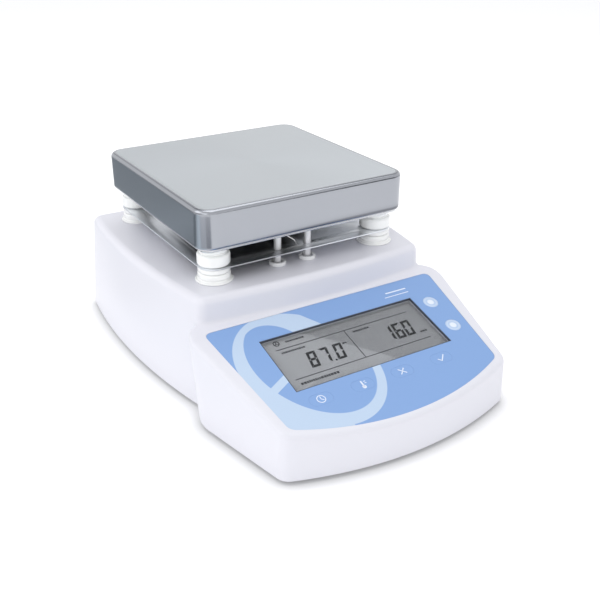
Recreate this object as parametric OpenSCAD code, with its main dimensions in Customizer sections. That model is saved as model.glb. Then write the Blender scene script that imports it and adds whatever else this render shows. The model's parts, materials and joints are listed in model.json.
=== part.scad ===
// Hotplate magnetic stirrer with a square plate on ceramic posts and a sloped control console.
// Millimetres, +Z up, +Y to the rear. The origin is on the bench, under the middle of the footprint.

/* [Hotplate] */
// Side of the square plate
plate_size = 152.4; // [146:0.2:156]
// Height of the plate's skirt
skirt_h = 26.6; // [25.6:0.1:28]
// Plan radius of the plate's corners
plate_corner = 8; // [6:0.5:12]
// Radius of the plate's upper edge
plate_edge = 2.9; // [2:0.1:3.6]
// Sheet thickness of the pressed pan
pan_wall = 1.2; // [0.8:0.1:1.6]
// How far behind the middle of the footprint the plate's axis lies
plate_y = 48; // [47:0.5:49]

/* [Posts and heat shield] */
// Distance between post axes, both ways
post_pitch = 123.5; // [121:0.5:125]
// Largest radius of the ceramic beads
bead_r = 10.5; // [9:0.25:11]
// Height of the upper bead
upper_bead_h = 12; // [11:0.5:13]
// Height of the ceramic ring under the shield
ring_h = 3.8; // [3:0.2:5]
// Height of the flanged lower bead
lower_bead_h = 6.1; // [5.5:0.1:8]
// Side of the square heat shield
shield_size = 145; // [142:1:148]
// Thickness of the heat shield
shield_t = 0.8; // [0.6:0.1:1]
// Radius of the post studs
stud_r = 2.5; // [2:0.25:2.5]

/* [Housing] */
// Gap between bench and housing, held by the feet
foot_gap = 3; // [2.5:0.25:4]
// Height of the deck above the housing's lower edge
deck_h = 72.3; // [71:0.5:74]
// Greatest width of the rear body at its lower edge
body_w = 196.4; // [194:0.2:200]
// Radius of the barrel-shaped sides in plan
barrel_r = 470; // [430:10:600]
// Radius of the deck's rounded edge
deck_edge = 5; // [3:0.5:8]
// Wall thickness of the moulding
wall = 3; // [2.6:0.1:3.2]

/* [Console] */
// Angle of the control panel
panel_tilt = 15.9; // [15.5:0.1:16.3]
// Radius of the console's upper edge
console_edge = 2.5; // [2:0.25:4.5]
// Radius of the bowed front in plan
console_bow = 215; // [205:5:240]
// Length of the display window
window_w = 115; // [110:1:116]
// Height of the display window along the slope
window_h = 44.6; // [43:0.2:45]
// Radius of the round keys
round_key_r = 5.2; // [4:0.1:5.4]
// Travel of each key
key_travel = 0.4; // [0.2:0.05:0.4]

/* [Drive] */
// Radius of the motor
motor_r = 30; // [27:1:32]
// Radius of the motor shaft
shaft_r = 4; // [4:0.5:4]
// Half length of the magnet holder
holder_r = 36; // [33:1:38]
// Radius of each drive magnet
magnet_r = 8; // [6:0.5:9]

/* [Hidden] */
$fn = 48;

// Levels of the stack, from the bench up
z_base = foot_gap;
z_deck = z_base + deck_h;
z_ring = z_deck + lower_bead_h;
z_shield = z_ring + ring_h;
z_bead = z_shield + shield_t;
z_cover = z_bead + upper_bead_h;
cover_sheet = 1;
z_skirt = z_cover + cover_sheet;
z_top = z_skirt + skirt_h;
z_heater = z_top - pan_wall;
heater_t = 6;
element_t = 1.5;
pad_t = 4;
press_t = 0.8;
z_element = z_heater - heater_t;
z_pad = z_element - element_t;
z_press = z_pad - pad_t;
z_pressed = z_press - press_t;

// Rear body
body_mid = 62.4;
side_draft = 0.063;
rear_0 = 146.2;
rear_draft = 0.157;
front_0 = -45.4;
front_draft = 0.055;
front_bow = 660;
front_r = 5;
rear_r = 6;
// Console
cons_ref = -56.5;
cons_half0 = 96.4;
cons_taper = 0.194;
cons_draft = 0.045;
cons_front0 = -146.2;
cons_rear = -34;
panel_y = -44.8;
panel_z = z_base + 53.4;
cons_corner = 4;
// Panel overlay
over_half = 85.6;
over_half_f = 75.3;
over_len = 85;
over_bow = 16;
over_t = 0.5;
over_sink = 0.2;
win_s = 40;
key_s = 72.3;
key_x = [-47, -18, 11, 41];
round_x = 68.3;
round_s = [26.5, 50.6];
pad_l = 15.4;
pad_w = 8.4;
// Fasteners
boss_xy = [[88.2, 112], [89.2, 20], [80.2, -105]];
foot_xy = [[72, 121], [64, -104]];
panel_x = 66;
panel_z0 = 12;
panel_z1 = 66;
ledge_y = 131.5;
rod_x = 76;
rod_z = 50;
inlet_x = -32;
inlet_z = 39;
switch_x = 8;
switch_z = 39;
probe_x = 38;
probe_z = 39;
rocker_tilt = 9;

// ---------- shared shapes ----------
function bez(a, b, c, n) = [for (k = [0:n]) let (t = k / n) (1 - t) * (1 - t) * a + 2 * t * (1 - t) * b + t * t * c];
function mirrored(h) = concat(h, [for (k = [len(h) - 1:-1:0]) if (abs(h[k][0]) > 0.01) [-h[k][0], h[k][1]]]);
function rev(v) = [for (k = [len(v) - 1:-1:0]) v[k]];

// closed skin through rings of equal length, lowest ring first
module loft(rings) {
  n = len(rings[0]);
  m = len(rings);
  polyhedron(
    points = [for (r = rings) for (p = r) p],
    faces = concat(
      [[for (i = [0:n - 1]) i]],
      [for (k = [0:m - 2]) for (i = [0:n - 1]) each [
        [k * n + i, (k + 1) * n + i, k * n + (i + 1) % n],
        [k * n + (i + 1) % n, (k + 1) * n + i, (k + 1) * n + (i + 1) % n]]],
      [[for (i = [0:n - 1]) (m - 1) * n + n - 1 - i]]),
    convexity = 8);
}

// plan outline of the rear body at height z, drawn in by i
function body_half(y, z, i) = body_w / 2 - pow(y - body_mid, 2) / (2 * barrel_r) - side_draft * (z - z_base) - i;
function body_front(x, z, i) = front_0 + front_draft * (z - z_base) + x * x / (2 * front_bow) + i;
function body_rear(z, i) = rear_0 - rear_draft * (z - z_base) - i;
function body_plan(z, i) =
  let (rc = max(front_r - i, 2.5), rr = max(rear_r - i, 2.5),
       x0 = body_half(front_0, z, i), yc = body_front(x0, z, i), xc = body_half(yc, z, i),
       ry = body_rear(z, i), xr = body_half(ry, z, i))
  mirrored(concat(
    [for (k = [0:5]) let (x = (xc - rc) * k / 6) [x, body_front(x, z, i)]],
    bez([xc - rc, body_front(xc - rc, z, i)], [xc, yc], [body_half(yc + rc, z, i), yc + rc], 6),
    [for (k = [1:11]) let (y = yc + rc + (ry - rr - yc - rc) * k / 12) [body_half(y, z, i), y]],
    bez([body_half(ry - rr, z, i), ry - rr], [xr, ry], [xr - rr, ry], 6),
    [[0, ry]]));
module body_form(i, low) {
  top = z_deck - (i > 0 ? wall : 0);
  r = max(deck_edge - i, 2);
  loft(concat(
    [[for (p = body_plan(low, i)) [p[0], p[1], low]]],
    [for (a = [0:15:90]) let (z = top - r * (1 - sin(a)), e = i + r * (1 - cos(a)))
      [for (p = body_plan(z, e)) [p[0], p[1], z]]]));
}

// plan outline of the console at depth d under the panel plane (d < 0: at height zf), drawn in by i
function plane_z(y) = panel_z + (y - panel_y) * tan(panel_tilt);
function cons_z(y, d, zf) = d < 0 ? zf : plane_z(y) - d;
function cons_half(y, z, i) = cons_half0 + cons_taper * (y - cons_ref) - cons_draft * (z - z_base) - i;
function cons_front(x, z, i) = cons_front0 + x * x / (2 * console_bow) + 0.03 * (z - z_base) + i;
function cons_plan(d, zf, i) =
  let (rc = max(cons_corner - i, 2), x0 = cons_half(-131, cons_z(-131, d, zf), i),
       yc = cons_front(x0, cons_z(-131, d, zf), i), xc = cons_half(yc, cons_z(yc, d, zf), i),
       ry = cons_rear - i, q = max(0, 59 - cons_z(ry, d, zf)), rl = 22 - i + 0.2 * q, xr = cons_half(ry, cons_z(ry, d, zf), i))
  mirrored(concat(
    [for (k = [0:9]) let (x = (xc - rc) * k / 10) [x, cons_front(x, cons_z(-140, d, zf), i)]],
    bez([xc - rc, cons_front(xc - rc, cons_z(-135, d, zf), i)], [xc, yc],
        [cons_half(yc + rc, cons_z(yc + rc, d, zf), i), yc + rc], 6),
    [for (k = [1:3]) let (y = yc + rc + (ry - rl - yc - rc) * k / 4) [cons_half(y, cons_z(y, d, zf), i), y]],
    bez([cons_half(ry - rl, cons_z(ry - rl, d, zf), i), ry - rl], [xr, ry], [xr - 14 - 0.34 * q, ry], 7),
    [[0, ry]]));
module console_form(i, low) {
  r = max(console_edge - i, 1);
  d0 = i > 0 ? wall : 0;
  loft(concat(
    [[for (p = cons_plan(-1, low, i)) [p[0], p[1], low]]],
    [for (a = [0:18:90]) let (d = d0 + r * (1 - sin(a)), e = i + r * (1 - cos(a)))
      [for (p = cons_plan(d, low, e)) [p[0], p[1], plane_z(p[1]) - d]]]));
}

// panel coordinates: x across, -s down the slope, z along the normal, 0 at the rim
module on_panel() translate([0, panel_y, panel_z]) rotate([panel_tilt, 0, 0]) children();
function over_plan(g) =
  let (rr = 5 - g, rf = 3.5 - g, h0 = over_half - g, h1 = over_half_f - g, r = (over_half_f * over_half_f + over_bow * over_bow) / (2 * over_bow) - g,
       fy = function (x) -(over_len + over_bow) + (r + g) - sqrt(r * r - x * x))
  rev(mirrored(rev(concat(
    [[0, -g]], bez([h0 - rr, -g], [h0, -g], [h0 - 0.12 * rr, -g - rr], 5),
    bez([h1 + 0.12 * rf, fy(h1) + rf], [h1, fy(h1)], [h1 - rf, fy(h1 - rf)], 4),
    [for (k = [9:-1:1]) let (x = (h1 - rf) * k / 10) [x, fy(x)]], [[0, fy(0)]]))));
module stadium(l, w, h) {
  linear_extrude(h) union() {
    square([l - w, w], center = true);
    for (s = [-1, 1]) translate([s * (l - w) / 2, 0]) circle(d = w);
  }
}
module rounded_plate(s, r, h) {
  linear_extrude(h) union() {
    square([s - 2 * r, s], center = true);
    square([s, s - 2 * r], center = true);
    for (x = [-1, 1]) for (y = [-1, 1]) translate([x * (s / 2 - r), y * (s / 2 - r)]) circle(r);
  }
}
module at_posts() for (x = [-1, 1]) for (y = [-1, 1]) translate([x * post_pitch / 2, plate_y + y * post_pitch / 2, 0]) children();
tube_xy = [[-16.5, -15], [5.5, -16]];
module at_tubes() for (p = tube_xy) translate([p[0], p[1], 0]) children();
module at_pairs(list) for (p = list) for (s = [-1, 1]) translate([s * p[0], p[1], 0]) children();
// round wire of radius r along points, with its corners eased
function unit(v) = v / norm(v);
function eased(p, e) = [for (k = [0:len(p) - 1]) each (k == 0 || k == len(p) - 1) ? [p[k]] :
  let (a = p[k] + unit(p[k - 1] - p[k]) * e, c = p[k] + unit(p[k + 1] - p[k]) * e) bez(a, p[k], c, 4)];
module wire(pts, r, e = 2) {
  q = eased(pts, e);
  n = len(q);
  loft([for (k = [0:n - 1])
    let (t = unit(k == 0 ? q[1] - q[0] : k == n - 1 ? q[k] - q[k - 1] : unit(q[k] - q[k - 1]) + unit(q[k + 1] - q[k])),
         u = unit(cross(t, [0.45, 0.55, 0.7])), w = cross(t, u))
    [for (a = [0:45:315]) q[k] + r * (cos(a) * u + sin(a) * w)]]);
}
module hex_nut(af, h, r) difference() {
  cylinder(h = h, r = af / 2 / cos(30), $fn = 6);
  translate([0, 0, -1]) cylinder(h = h + 2, r = r);
}

// ---------- housing ----------
module key_hole(g, z0, h) {
  for (s = round_s) translate([round_x, -s, z0]) cylinder(h = h, r = round_key_r + g);
  for (x = key_x) translate([x, -key_s, z0]) stadium(pad_l + 2 * g, pad_w + 2 * g, h);
}
board_xy = [[-68, -18], [68, -13], [-68, -74], [66, -78]];
module upper_housing() color("whitesmoke") difference() {
  union() {
    difference() {
      union() {
        body_form(0, z_base);
        console_form(0, z_base);
      }
      body_form(wall, z_base - 1);
      console_form(wall, z_base - 1);
      translate([-80, -52, z_base - 1]) cube([160, 30, 50]);
    }
    // thickened frame round the rear connector panel
    intersection() {
      body_form(0, z_base);
      translate([-panel_x - 4, ledge_y - 3, panel_z0 - 5]) cube([2 * panel_x + 8, 30, panel_z1 - panel_z0 + 10]);
    }
    // bosses for the bottom cover, the motor bracket and the rod insert
    at_pairs(boss_xy) translate([0, 0, z_base + 2.4]) cylinder(h = 20, r = 4.5);
    for (x = [-42, 42]) for (y = [-24, 24]) translate([x, plate_y + y, z_deck - wall - 6]) cylinder(h = 7, r = 4.5);
    translate([rod_x, ledge_y - 12, rod_z]) rotate([-90, 0, 0]) cylinder(h = 16, r = 9);
    on_panel() for (p = board_xy) translate([p[0], p[1], -9.5]) cylinder(h = 7.5, r = 3.2);
  }
  // deck: stud, conduit and shaft holes
  at_posts() translate([0, 0, z_deck - 9]) cylinder(h = 20, r = stud_r + 0.2);
  at_tubes() translate([0, 0, z_deck - 9]) cylinder(h = 20, r = 4);
  translate([0, plate_y, z_deck - 9]) cylinder(h = 20, r = 7);
  // panel: recess for the overlay, display window, key holes
  on_panel() {
    translate([0, 0, -over_t - over_sink]) linear_extrude(3) polygon(over_plan(-0.1));
    translate([-window_w / 2, -win_s - window_h / 2, -9]) cube([window_w, window_h, 12]);
    key_hole(0.08, -9, 12);
    for (p = board_xy) translate([p[0], p[1], -10]) cylinder(h = 7.4, r = 1.25);
  }
  // rear: connector panel pocket and its window
  translate([-panel_x, ledge_y, panel_z0]) cube([2 * panel_x, 30, panel_z1 - panel_z0]);
  translate([-panel_x + 6, ledge_y - 5, panel_z0 + 5]) cube([2 * panel_x - 12, 30, panel_z1 - panel_z0 - 10]);
  for (x = [-1, 1]) for (z = [panel_z0 + 5, panel_z1 - 5]) translate([x * (panel_x - 3), ledge_y + 1, z]) rotate([90, 0, 0]) cylinder(h = 8, r = 1.25);
  translate([rod_x, ledge_y - 10, rod_z]) rotate([-90, 0, 0]) cylinder(h = 30, r = 6.5);
  translate([rod_x, ledge_y + 4.5, rod_z]) rotate([-90, 0, 0]) cylinder(h = 30, r = 8);
  // screw holes in the bosses
  at_pairs(boss_xy) translate([0, 0, z_base]) cylinder(h = 18, r = 1.45);
  for (x = [-42, 42]) for (y = [-24, 24]) translate([x, plate_y + y, z_deck - wall - 8]) cylinder(h = 8, r = 1.25);
}
module bottom_cover() color("gainsboro") difference() {
  union() {
    translate([0, 0, z_base + 0.4]) linear_extrude(2) union() {
      polygon(body_plan(z_base + 2.4, wall + 0.25));
      polygon(cons_plan(-1, z_base + 2.4, wall + 0.25));
      translate([-79, -52]) square([158, 30]);
    }
    for (x = [-79, -40]) for (y = [4, 118]) translate([x, y, z_base + 2.4]) cylinder(h = 6.6, r = 3);
    for (x = [46, 80]) for (y = [76, 104]) translate([x, y, z_base + 2.4]) cylinder(h = 2.6, r = 4);
  }
  at_pairs(boss_xy) cylinder(h = 8, r = 1.7);
  at_pairs(foot_xy) cylinder(h = 8, r = 3.05);
  for (x = [-79, -40]) for (y = [4, 118]) translate([x, y, z_base + 3.4]) cylinder(h = 9, r = 1.25);
  for (x = [46, 80]) for (y = [76, 104]) translate([x, y, z_base - 1]) cylinder(h = 9, r = 1.7);
  // air slots under the motor and behind the display
  for (k = [-4:4]) translate([k * 8, plate_y, z_base - 1]) stadium_slot();
  for (k = [-4:4]) translate([k * 8, -84, z_base - 1]) stadium_slot();
}
module stadium_slot() linear_extrude(6) union() {
  square([3, 36], center = true);
  for (s = [-18, 18]) translate([0, s]) circle(1.5);
}
module rubber_feet() color("dimgray") at_pairs(foot_xy) rotate_extrude() polygon([
  [0, 0], [7.6, 0], [8.6, 0.8], [9, 3.4 - 3 + foot_gap], [3, 3.4 - 3 + foot_gap], [3, z_base + 2.4], [3.6, z_base + 2.9], [3.2, z_base + 4.6], [2, z_base + 5.2], [0, z_base + 5.2]]);
module cover_screws() color("silver") at_pairs(boss_xy) difference() {
  union() {
    translate([0, 0, z_base + 0.4 - 1.8]) cylinder(h = 1.8, r = 2.9);
    translate([0, 0, z_base]) cylinder(h = 14, r = 1.4);
  }
  translate([0, 0, z_base - 1.7]) { cube([3.4, 0.8, 1.8], center = true); cube([0.8, 3.4, 1.8], center = true); }
}
module rear_panel() color("lightgray") difference() {
  translate([-panel_x + 0.2, ledge_y, panel_z0 + 0.2]) cube([2 * panel_x - 0.4, 2, panel_z1 - panel_z0 - 0.4]);
  translate([inlet_x - 14.2, ledge_y - 1, inlet_z - 16.7]) cube([28.4, 4, 33.4]);
  for (s = [-1, 1]) translate([inlet_x + s * 20, ledge_y - 1, inlet_z]) rotate([-90, 0, 0]) cylinder(h = 4, r = 1.6);
  translate([switch_x - 9.7, ledge_y - 1, switch_z - 6.7]) cube([19.4, 4, 13.4]);
  translate([probe_x, ledge_y - 1, probe_z]) rotate([-90, 0, 0]) cylinder(h = 4, r = 7.6);
  for (x = [-1, 1]) for (z = [panel_z0 + 5, panel_z1 - 5]) translate([x * (panel_x - 3), ledge_y - 1, z]) rotate([-90, 0, 0]) cylinder(h = 4, r = 1.6);
}
module small_screw(head_r, head_h, len, r) difference() {
  union() { cylinder(h = head_h, r = head_r); translate([0, 0, -len]) cylinder(h = len, r = r); }
  translate([0, 0, head_h]) { cube([head_r * 1.2, 0.6, 1.2], center = true); cube([0.6, head_r * 1.2, 1.2], center = true); }
}
module rear_panel_screws() color("silver")
  for (x = [-1, 1]) for (z = [panel_z0 + 5, panel_z1 - 5]) translate([x * (panel_x - 3), ledge_y + 2, z]) rotate([-90, 0, 0]) small_screw(2.6, 1.6, 6, 1.2);

// ---------- control panel ----------
module panel_overlay() color("cornflowerblue") on_panel() difference() {
  translate([0, 0, -over_t - over_sink]) linear_extrude(over_t) polygon(over_plan(0));
  translate([-window_w / 2, -win_s - window_h / 2, -3]) cube([window_w, window_h, 6]);
  key_hole(0.15, -3, 6);
}
module lcd_lens() color("lightgray", 0.4) on_panel()
  translate([-window_w / 2 + 0.2, -win_s - window_h / 2 + 0.2, -wall - 0.2]) cube([window_w - 0.4, window_h - 0.4, 1.2]);
module lcd_glass() color("darkgray") on_panel()
  translate([-window_w / 2 - 1.2, -win_s - window_h / 2 - 1.2, -wall - 3]) cube([window_w + 2.4, window_h + 2.4, 2.8]);
module lcd_frame() color("gray") on_panel() difference() {
  translate([-window_w / 2 - 4, -win_s - window_h / 2 - 4, -9.4]) cube([window_w + 8, window_h + 8, 9.4 - wall - 0.2]);
  translate([-window_w / 2 - 1.3, -win_s - window_h / 2 - 1.3, -wall - 3]) cube([window_w + 2.6, window_h + 2.6, 6]);
}
module display_board() color("seagreen") on_panel() difference() {
  union() {
    translate([-74, -80, -11.1]) cube([148, 68, 1.6]);
    translate([-63, -30, -15.1]) cube([22, 8, 4]);
    translate([10, -60, -13.1]) cube([16, 16, 2]);
  }
  for (p = board_xy) translate([p[0], p[1], -12]) cylinder(h = 4, r = 1.6);
}
module tact_switches() color("black") on_panel() {
  for (s = round_s) translate([round_x, -s, -9.5]) tact();
  for (x = key_x) translate([x, -key_s, -9.5]) tact();
}
module tact() union() {
  translate([-3, -3, 0]) cube([6, 6, 3.4]);
  cylinder(h = 4.95, r = 1.75);
}
module board_screws() color("silver") on_panel()
  for (p = board_xy) translate([p[0], p[1], -11.1]) mirror([0, 0, 1]) small_screw(2.8, 1.6, 5, 1.2);
module round_key(s) on_panel() translate([round_x, -s, 0]) union() {
  translate([0, 0, -3.35]) cylinder(h = 3.35 - over_sink, r = round_key_r);
  translate([0, 0, -4.1]) cylinder(h = 0.8, r = round_key_r + 0.9);
}
module long_key(x) on_panel() translate([x, -key_s, 0]) union() {
  translate([0, 0, -3.35]) stadium(pad_l, pad_w, 3.35 - over_sink);
  translate([0, 0, -4.1]) stadium(pad_l + 1.8, pad_w + 1.8, 0.8);
}
module key_up() color("aliceblue") round_key(round_s[0]);
module key_down() color("aliceblue") round_key(round_s[1]);
module key_time() color("cornflowerblue") long_key(key_x[0]);
module key_temp() color("cornflowerblue") long_key(key_x[1]);
module key_exit() color("cornflowerblue") long_key(key_x[2]);
module key_enter() color("cornflowerblue") long_key(key_x[3]);
module ribbon_cable() color("lightgray") translate([-60, 0, 0]) rotate([90, 0, 90]) linear_extrude(16) polygon([
  [-65.1, 34.86], [-65.1, 24], [-61, 20], [-6, 20], [2, 15.4], [8, 15.4],
  [8, 14.6], [1.8, 14.6], [-6.2, 19.2], [-61.3, 19.2], [-65.9, 23.7], [-65.9, 34.63]]);

// ---------- hotplate ----------
function sq_ring(s, r, z) = [for (q = [0:3]) for (k = [0:8]) let (a = q * 90 - 90 + k * 11.25, c = s / 2 - r,
  sx = (q == 0 || q == 1) ? 1 : -1, sy = (q == 1 || q == 2) ? 1 : -1) [sx * c + r * cos(a), plate_y + sy * c + r * sin(a), z]];
roll_r = 3;
module plate_pan() color("silver") difference() {
  loft(concat(
    [for (a = [90:-22.5:0]) let (e = roll_r * (1 - cos(a))) sq_ring(plate_size - 2 * e, plate_corner - e, z_skirt + roll_r * (1 - sin(a)))],
    [for (a = [0:18:90]) let (e = plate_edge * (1 - cos(a))) sq_ring(plate_size - 2 * e, plate_corner - e, z_top - plate_edge * (1 - sin(a)))]));
  loft(concat(
    [sq_ring(plate_size - 2 * roll_r, plate_corner - roll_r, z_skirt - 1), sq_ring(plate_size - 2 * roll_r, plate_corner - roll_r, z_skirt + 0.8),
     sq_ring(plate_size - 2 * pan_wall, plate_corner - pan_wall, z_skirt + 2.4)],
    [for (a = [0:30:90]) let (e = (plate_edge - pan_wall) * (1 - cos(a)) + pan_wall)
      sq_ring(plate_size - 2 * e, plate_corner - e, z_heater - (plate_edge - pan_wall) * (1 - sin(a)))]));
}
module stud_holes(z, h, r) at_posts() translate([0, 0, z]) cylinder(h = h, r = r);
module heater_plate() color("lightsteelblue") difference() {
  translate([0, plate_y, z_element]) rounded_plate(140, 8, heater_t);
  stud_holes(z_element - 1, 5, stud_r);
  translate([5.5, plate_y - 71, z_element + 3]) rotate([-90, 0, 0]) cylinder(h = 36, r = 1.7);
}
module heating_element() color("tan") difference() {
  translate([0, plate_y, z_pad]) rounded_plate(136, 8, element_t);
  stud_holes(z_pad - 1, 5, stud_r + 1);
}
module insulation_pad() color("ivory") difference() {
  translate([0, plate_y, z_press]) rounded_plate(136, 8, pad_t);
  stud_holes(z_press - 1, 8, stud_r + 1);
}
module pressure_plate() color("gray") difference() {
  translate([0, plate_y, z_pressed]) rounded_plate(136, 8, press_t);
  stud_holes(z_pressed - 1, 4, stud_r + 0.2);
}
module plate_bottom_cover() color("silver") difference() {
  translate([0, plate_y, z_cover]) rounded_plate(plate_size - 2 * roll_r - 0.4, plate_corner - roll_r, cover_sheet);
  stud_holes(z_cover - 1, 4, stud_r + 0.2);
  at_tubes() translate([0, 0, z_cover - 1]) cylinder(h = 4, r = 2.5);
  translate([0, plate_y, z_cover - 1]) cylinder(h = 4, r = holder_r + 4);
}
module temp_sensor() color("white") union() {
  translate([5.5, plate_y - 68, z_element + 3]) rotate([-90, 0, 0]) cylinder(h = 24, r = 1.65);
  wire([[5.5, plate_y - 67, z_element + 3], [5.5, -23.4, z_element + 3], [5.5, -23.4, 106], [5.5, -16, 100], [5.5, -16, 50], [-44, -3, 24], [-52, 2, 18.2], [-52, 8, 18.2]], 0.8);
}
module post_studs() color("silver") at_posts() translate([0, 0, z_deck - wall - 8]) cylinder(h = z_element + 4 - z_deck + wall + 8, r = stud_r);
module post_nuts() color("silver") at_posts() {
  translate([0, 0, z_deck - wall - 4]) hex_nut(8, 4, stud_r);
  translate([0, 0, z_skirt]) hex_nut(8, 4, stud_r);
  translate([0, 0, z_pressed - 4]) hex_nut(8, 4, stud_r);
}

// ---------- posts and shield ----------
module upper_beads() color("white") at_posts() translate([0, 0, z_bead]) rotate_extrude($fn = 64) polygon(concat(
  [[stud_r + 0.2, 0], [bead_r - 1.6, 0]],
  [for (k = [0:8]) let (t = k * 22.5 - 90) [bead_r - 1.4 + 1.4 * cos(t), 4.3 + 3.9 * sin(t)]],
  [[bead_r - 1.5, 8.5]],
  [for (k = [0:6]) let (t = k * 30 - 90) [bead_r - 1.7 + 0.9 * cos(t), 10.2 + 1.4 * sin(t)]],
  [[bead_r - 2, upper_bead_h], [stud_r + 0.2, upper_bead_h]]));
module middle_rings() color("white") at_posts() translate([0, 0, z_ring]) rotate_extrude($fn = 64) polygon(concat(
  [[stud_r + 0.2, 0], [bead_r - 1.8, 0]],
  [for (k = [0:8]) let (t = k * 22.5 - 90) [bead_r - 1.5 + 1.3 * cos(t), ring_h / 2 + (ring_h / 2 - 0.25) * sin(t)]],
  [[bead_r - 1.8, ring_h], [stud_r + 0.2, ring_h]]));
module lower_beads() color("white") at_posts() translate([0, 0, z_deck]) rotate_extrude($fn = 64) polygon(concat(
  [[stud_r + 0.2, 0], [bead_r + 1.3, 0], [bead_r + 1.6, 0.5], [bead_r + 1.5, 1.1], [bead_r + 0.9, 1.6]],
  [for (k = [0:6]) let (t = k * 30 - 90) [bead_r - 1.2 + 1.3 * cos(t), 3.75 + 2.1 * sin(t)]],
  [[bead_r - 1.8, lower_bead_h], [stud_r + 0.2, lower_bead_h]]));
module heat_shield() color("silver") difference() {
  translate([0, plate_y, z_shield]) rounded_plate(shield_size, 11, shield_t);
  stud_holes(z_shield - 1, 4, stud_r + 0.2);
  at_tubes() translate([0, 0, z_shield - 1]) cylinder(h = 4, r = 2.5);
  translate([0, plate_y, z_shield - 1]) cylinder(h = 4, r = 7);
}
module conduit_tubes() color("lightgray") at_tubes() difference() {
  translate([0, 0, z_deck - 9]) cylinder(h = z_skirt + 1.5 - z_deck + 9, r = 2.4);
  translate([0, 0, z_deck - 10]) cylinder(h = 50, r = 1.8);
}
module conduit_collars() color("white") at_tubes() rotate_extrude() polygon([
  [3.6, z_deck - wall - 1], [4, z_deck - wall - 1], [4, z_deck], [5.3, z_deck], [5.6, z_deck + 0.4], [5.6, z_deck + 2], [5.2, z_deck + 2.5],
  [4.2, z_deck + 2.5], [3.6, z_deck + 2]]);
module heater_leads() color("saddlebrown") for (s = [-0.8, 0.8])
  wire([[-16.5 + s, plate_y - 67.9, z_pad + 0.75], [-16.5 + s, -21.9, z_pad + 0.75], [-16.5 + s, -21.9, 106], [-16.5 + s, -15, 101], [-16.5 + s, -15, 50], [-54 + 4 * s, 26, 24], [-54 + 4 * s, 32, 24]], 0.7);
module earth_wire() color("gold") wire([[-13.2, -15.4, z_cover - 0.26], [-12, -16.2, z_cover - 2.4], [-5.6, -17.6, z_bead + 4.4], [-3.2, -16.6, z_bead + 0.26]], 0.45, 1);

// ---------- drive ----------
z_brk = z_deck - wall - 8;
module motor_bracket() color("darkgray") difference() {
  translate([-50, plate_y - 32, z_brk]) cube([100, 64, 2]);
  translate([0, plate_y, z_brk - 1]) cylinder(h = 4, r = 12.05);
  for (x = [-42, 42]) for (y = [-24, 24]) translate([x, plate_y + y, z_brk - 1]) cylinder(h = 4, r = 1.7);
  for (a = [45:90:315]) translate([23 * cos(a), plate_y + 23 * sin(a), z_brk - 1]) cylinder(h = 4, r = 1.7);
}
module bracket_screws() color("silver") for (x = [-42, 42]) for (y = [-24, 24])
  translate([x, plate_y + y, z_brk]) mirror([0, 0, 1]) small_screw(2.9, 1.8, 8, 1.2);
module motor_body() color("dimgray") translate([0, plate_y, 0]) difference() {
  union() {
    translate([0, 0, z_brk - 36]) cylinder(h = 36, r = motor_r, $fn = 96);
    translate([0, 0, z_brk]) cylinder(h = 3.2, r = 12);
    translate([-10, -motor_r - 4, z_brk - 30]) cube([20, 6, 12]);
  }
  translate([0, 0, z_brk - 40]) cylinder(h = 60, r = shaft_r + 1);
  translate([0, 0, z_brk - 37]) cylinder(h = 8, r = 11);
  translate([0, 0, z_brk - 3.8]) cylinder(h = 8, r = 11);
  for (a = [45:90:315]) translate([23 * cos(a), 23 * sin(a), z_brk - 6]) cylinder(h = 8, r = 1.25);
  for (a = [0:20:340]) rotate(a) translate([motor_r, 0, z_brk - 28]) cylinder(h = 20, r = 1.2);
}
module motor_screws() color("silver") for (a = [45:90:315])
  translate([23 * cos(a), plate_y + 23 * sin(a), z_brk + 2]) small_screw(2.7, 1.8, 7, 1.2);
module shaft_bearings() color("silver") translate([0, plate_y, 0]) for (z = [z_brk - 36, z_brk - 3.8]) translate([0, 0, z]) difference() {
  cylinder(h = 7, r = 11);
  translate([0, 0, -1]) cylinder(h = 9, r = shaft_r + 0.04);
}
z_hold = z_skirt + 2.6;
module motor_shaft() color("silver") translate([0, plate_y, z_brk - 38]) cylinder(h = z_hold + 8.5 - z_brk + 38, r = shaft_r);
module magnet_holder() color("lightgray") translate([0, plate_y, 0]) difference() {
  union() {
    intersection() {
      translate([0, 0, z_hold]) cylinder(h = 9, r = holder_r, $fn = 96);
      translate([-holder_r - 1, -12, z_hold - 1]) cube([2 * holder_r + 2, 24, 12]);
    }
    translate([0, 0, z_hold - 8]) cylinder(h = 9, r = 9);
  }
  translate([0, 0, z_hold - 10]) cylinder(h = 30, r = shaft_r);
  for (s = [-24, 24]) translate([s, 0, z_hold + 3]) cylinder(h = 8, r = magnet_r);
  translate([3, 0, z_hold - 4]) rotate([0, 90, 0]) cylinder(h = 10, r = 2);
}
module drive_magnets() color("slategray") for (s = [-24, 24]) translate([s, plate_y, z_hold + 3]) cylinder(h = 6, r = magnet_r);
module set_screw() color("black") translate([shaft_r, plate_y, z_hold - 4]) rotate([0, 90, 0]) difference() {
  cylinder(h = 4.8, r = 2);
  translate([0, 0, 3]) cylinder(h = 3, r = 1.1, $fn = 6);
}
module motor_lead() color("red") for (s = [-3, 0, 3])
  wire([[s, plate_y - motor_r - 4, z_brk - 28], [s, plate_y - motor_r - 9, z_brk - 28], [s - 6, plate_y - motor_r - 9, 22], [-44, 13 + s, 18], [-50, 13 + s, 18]], 0.6);

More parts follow.
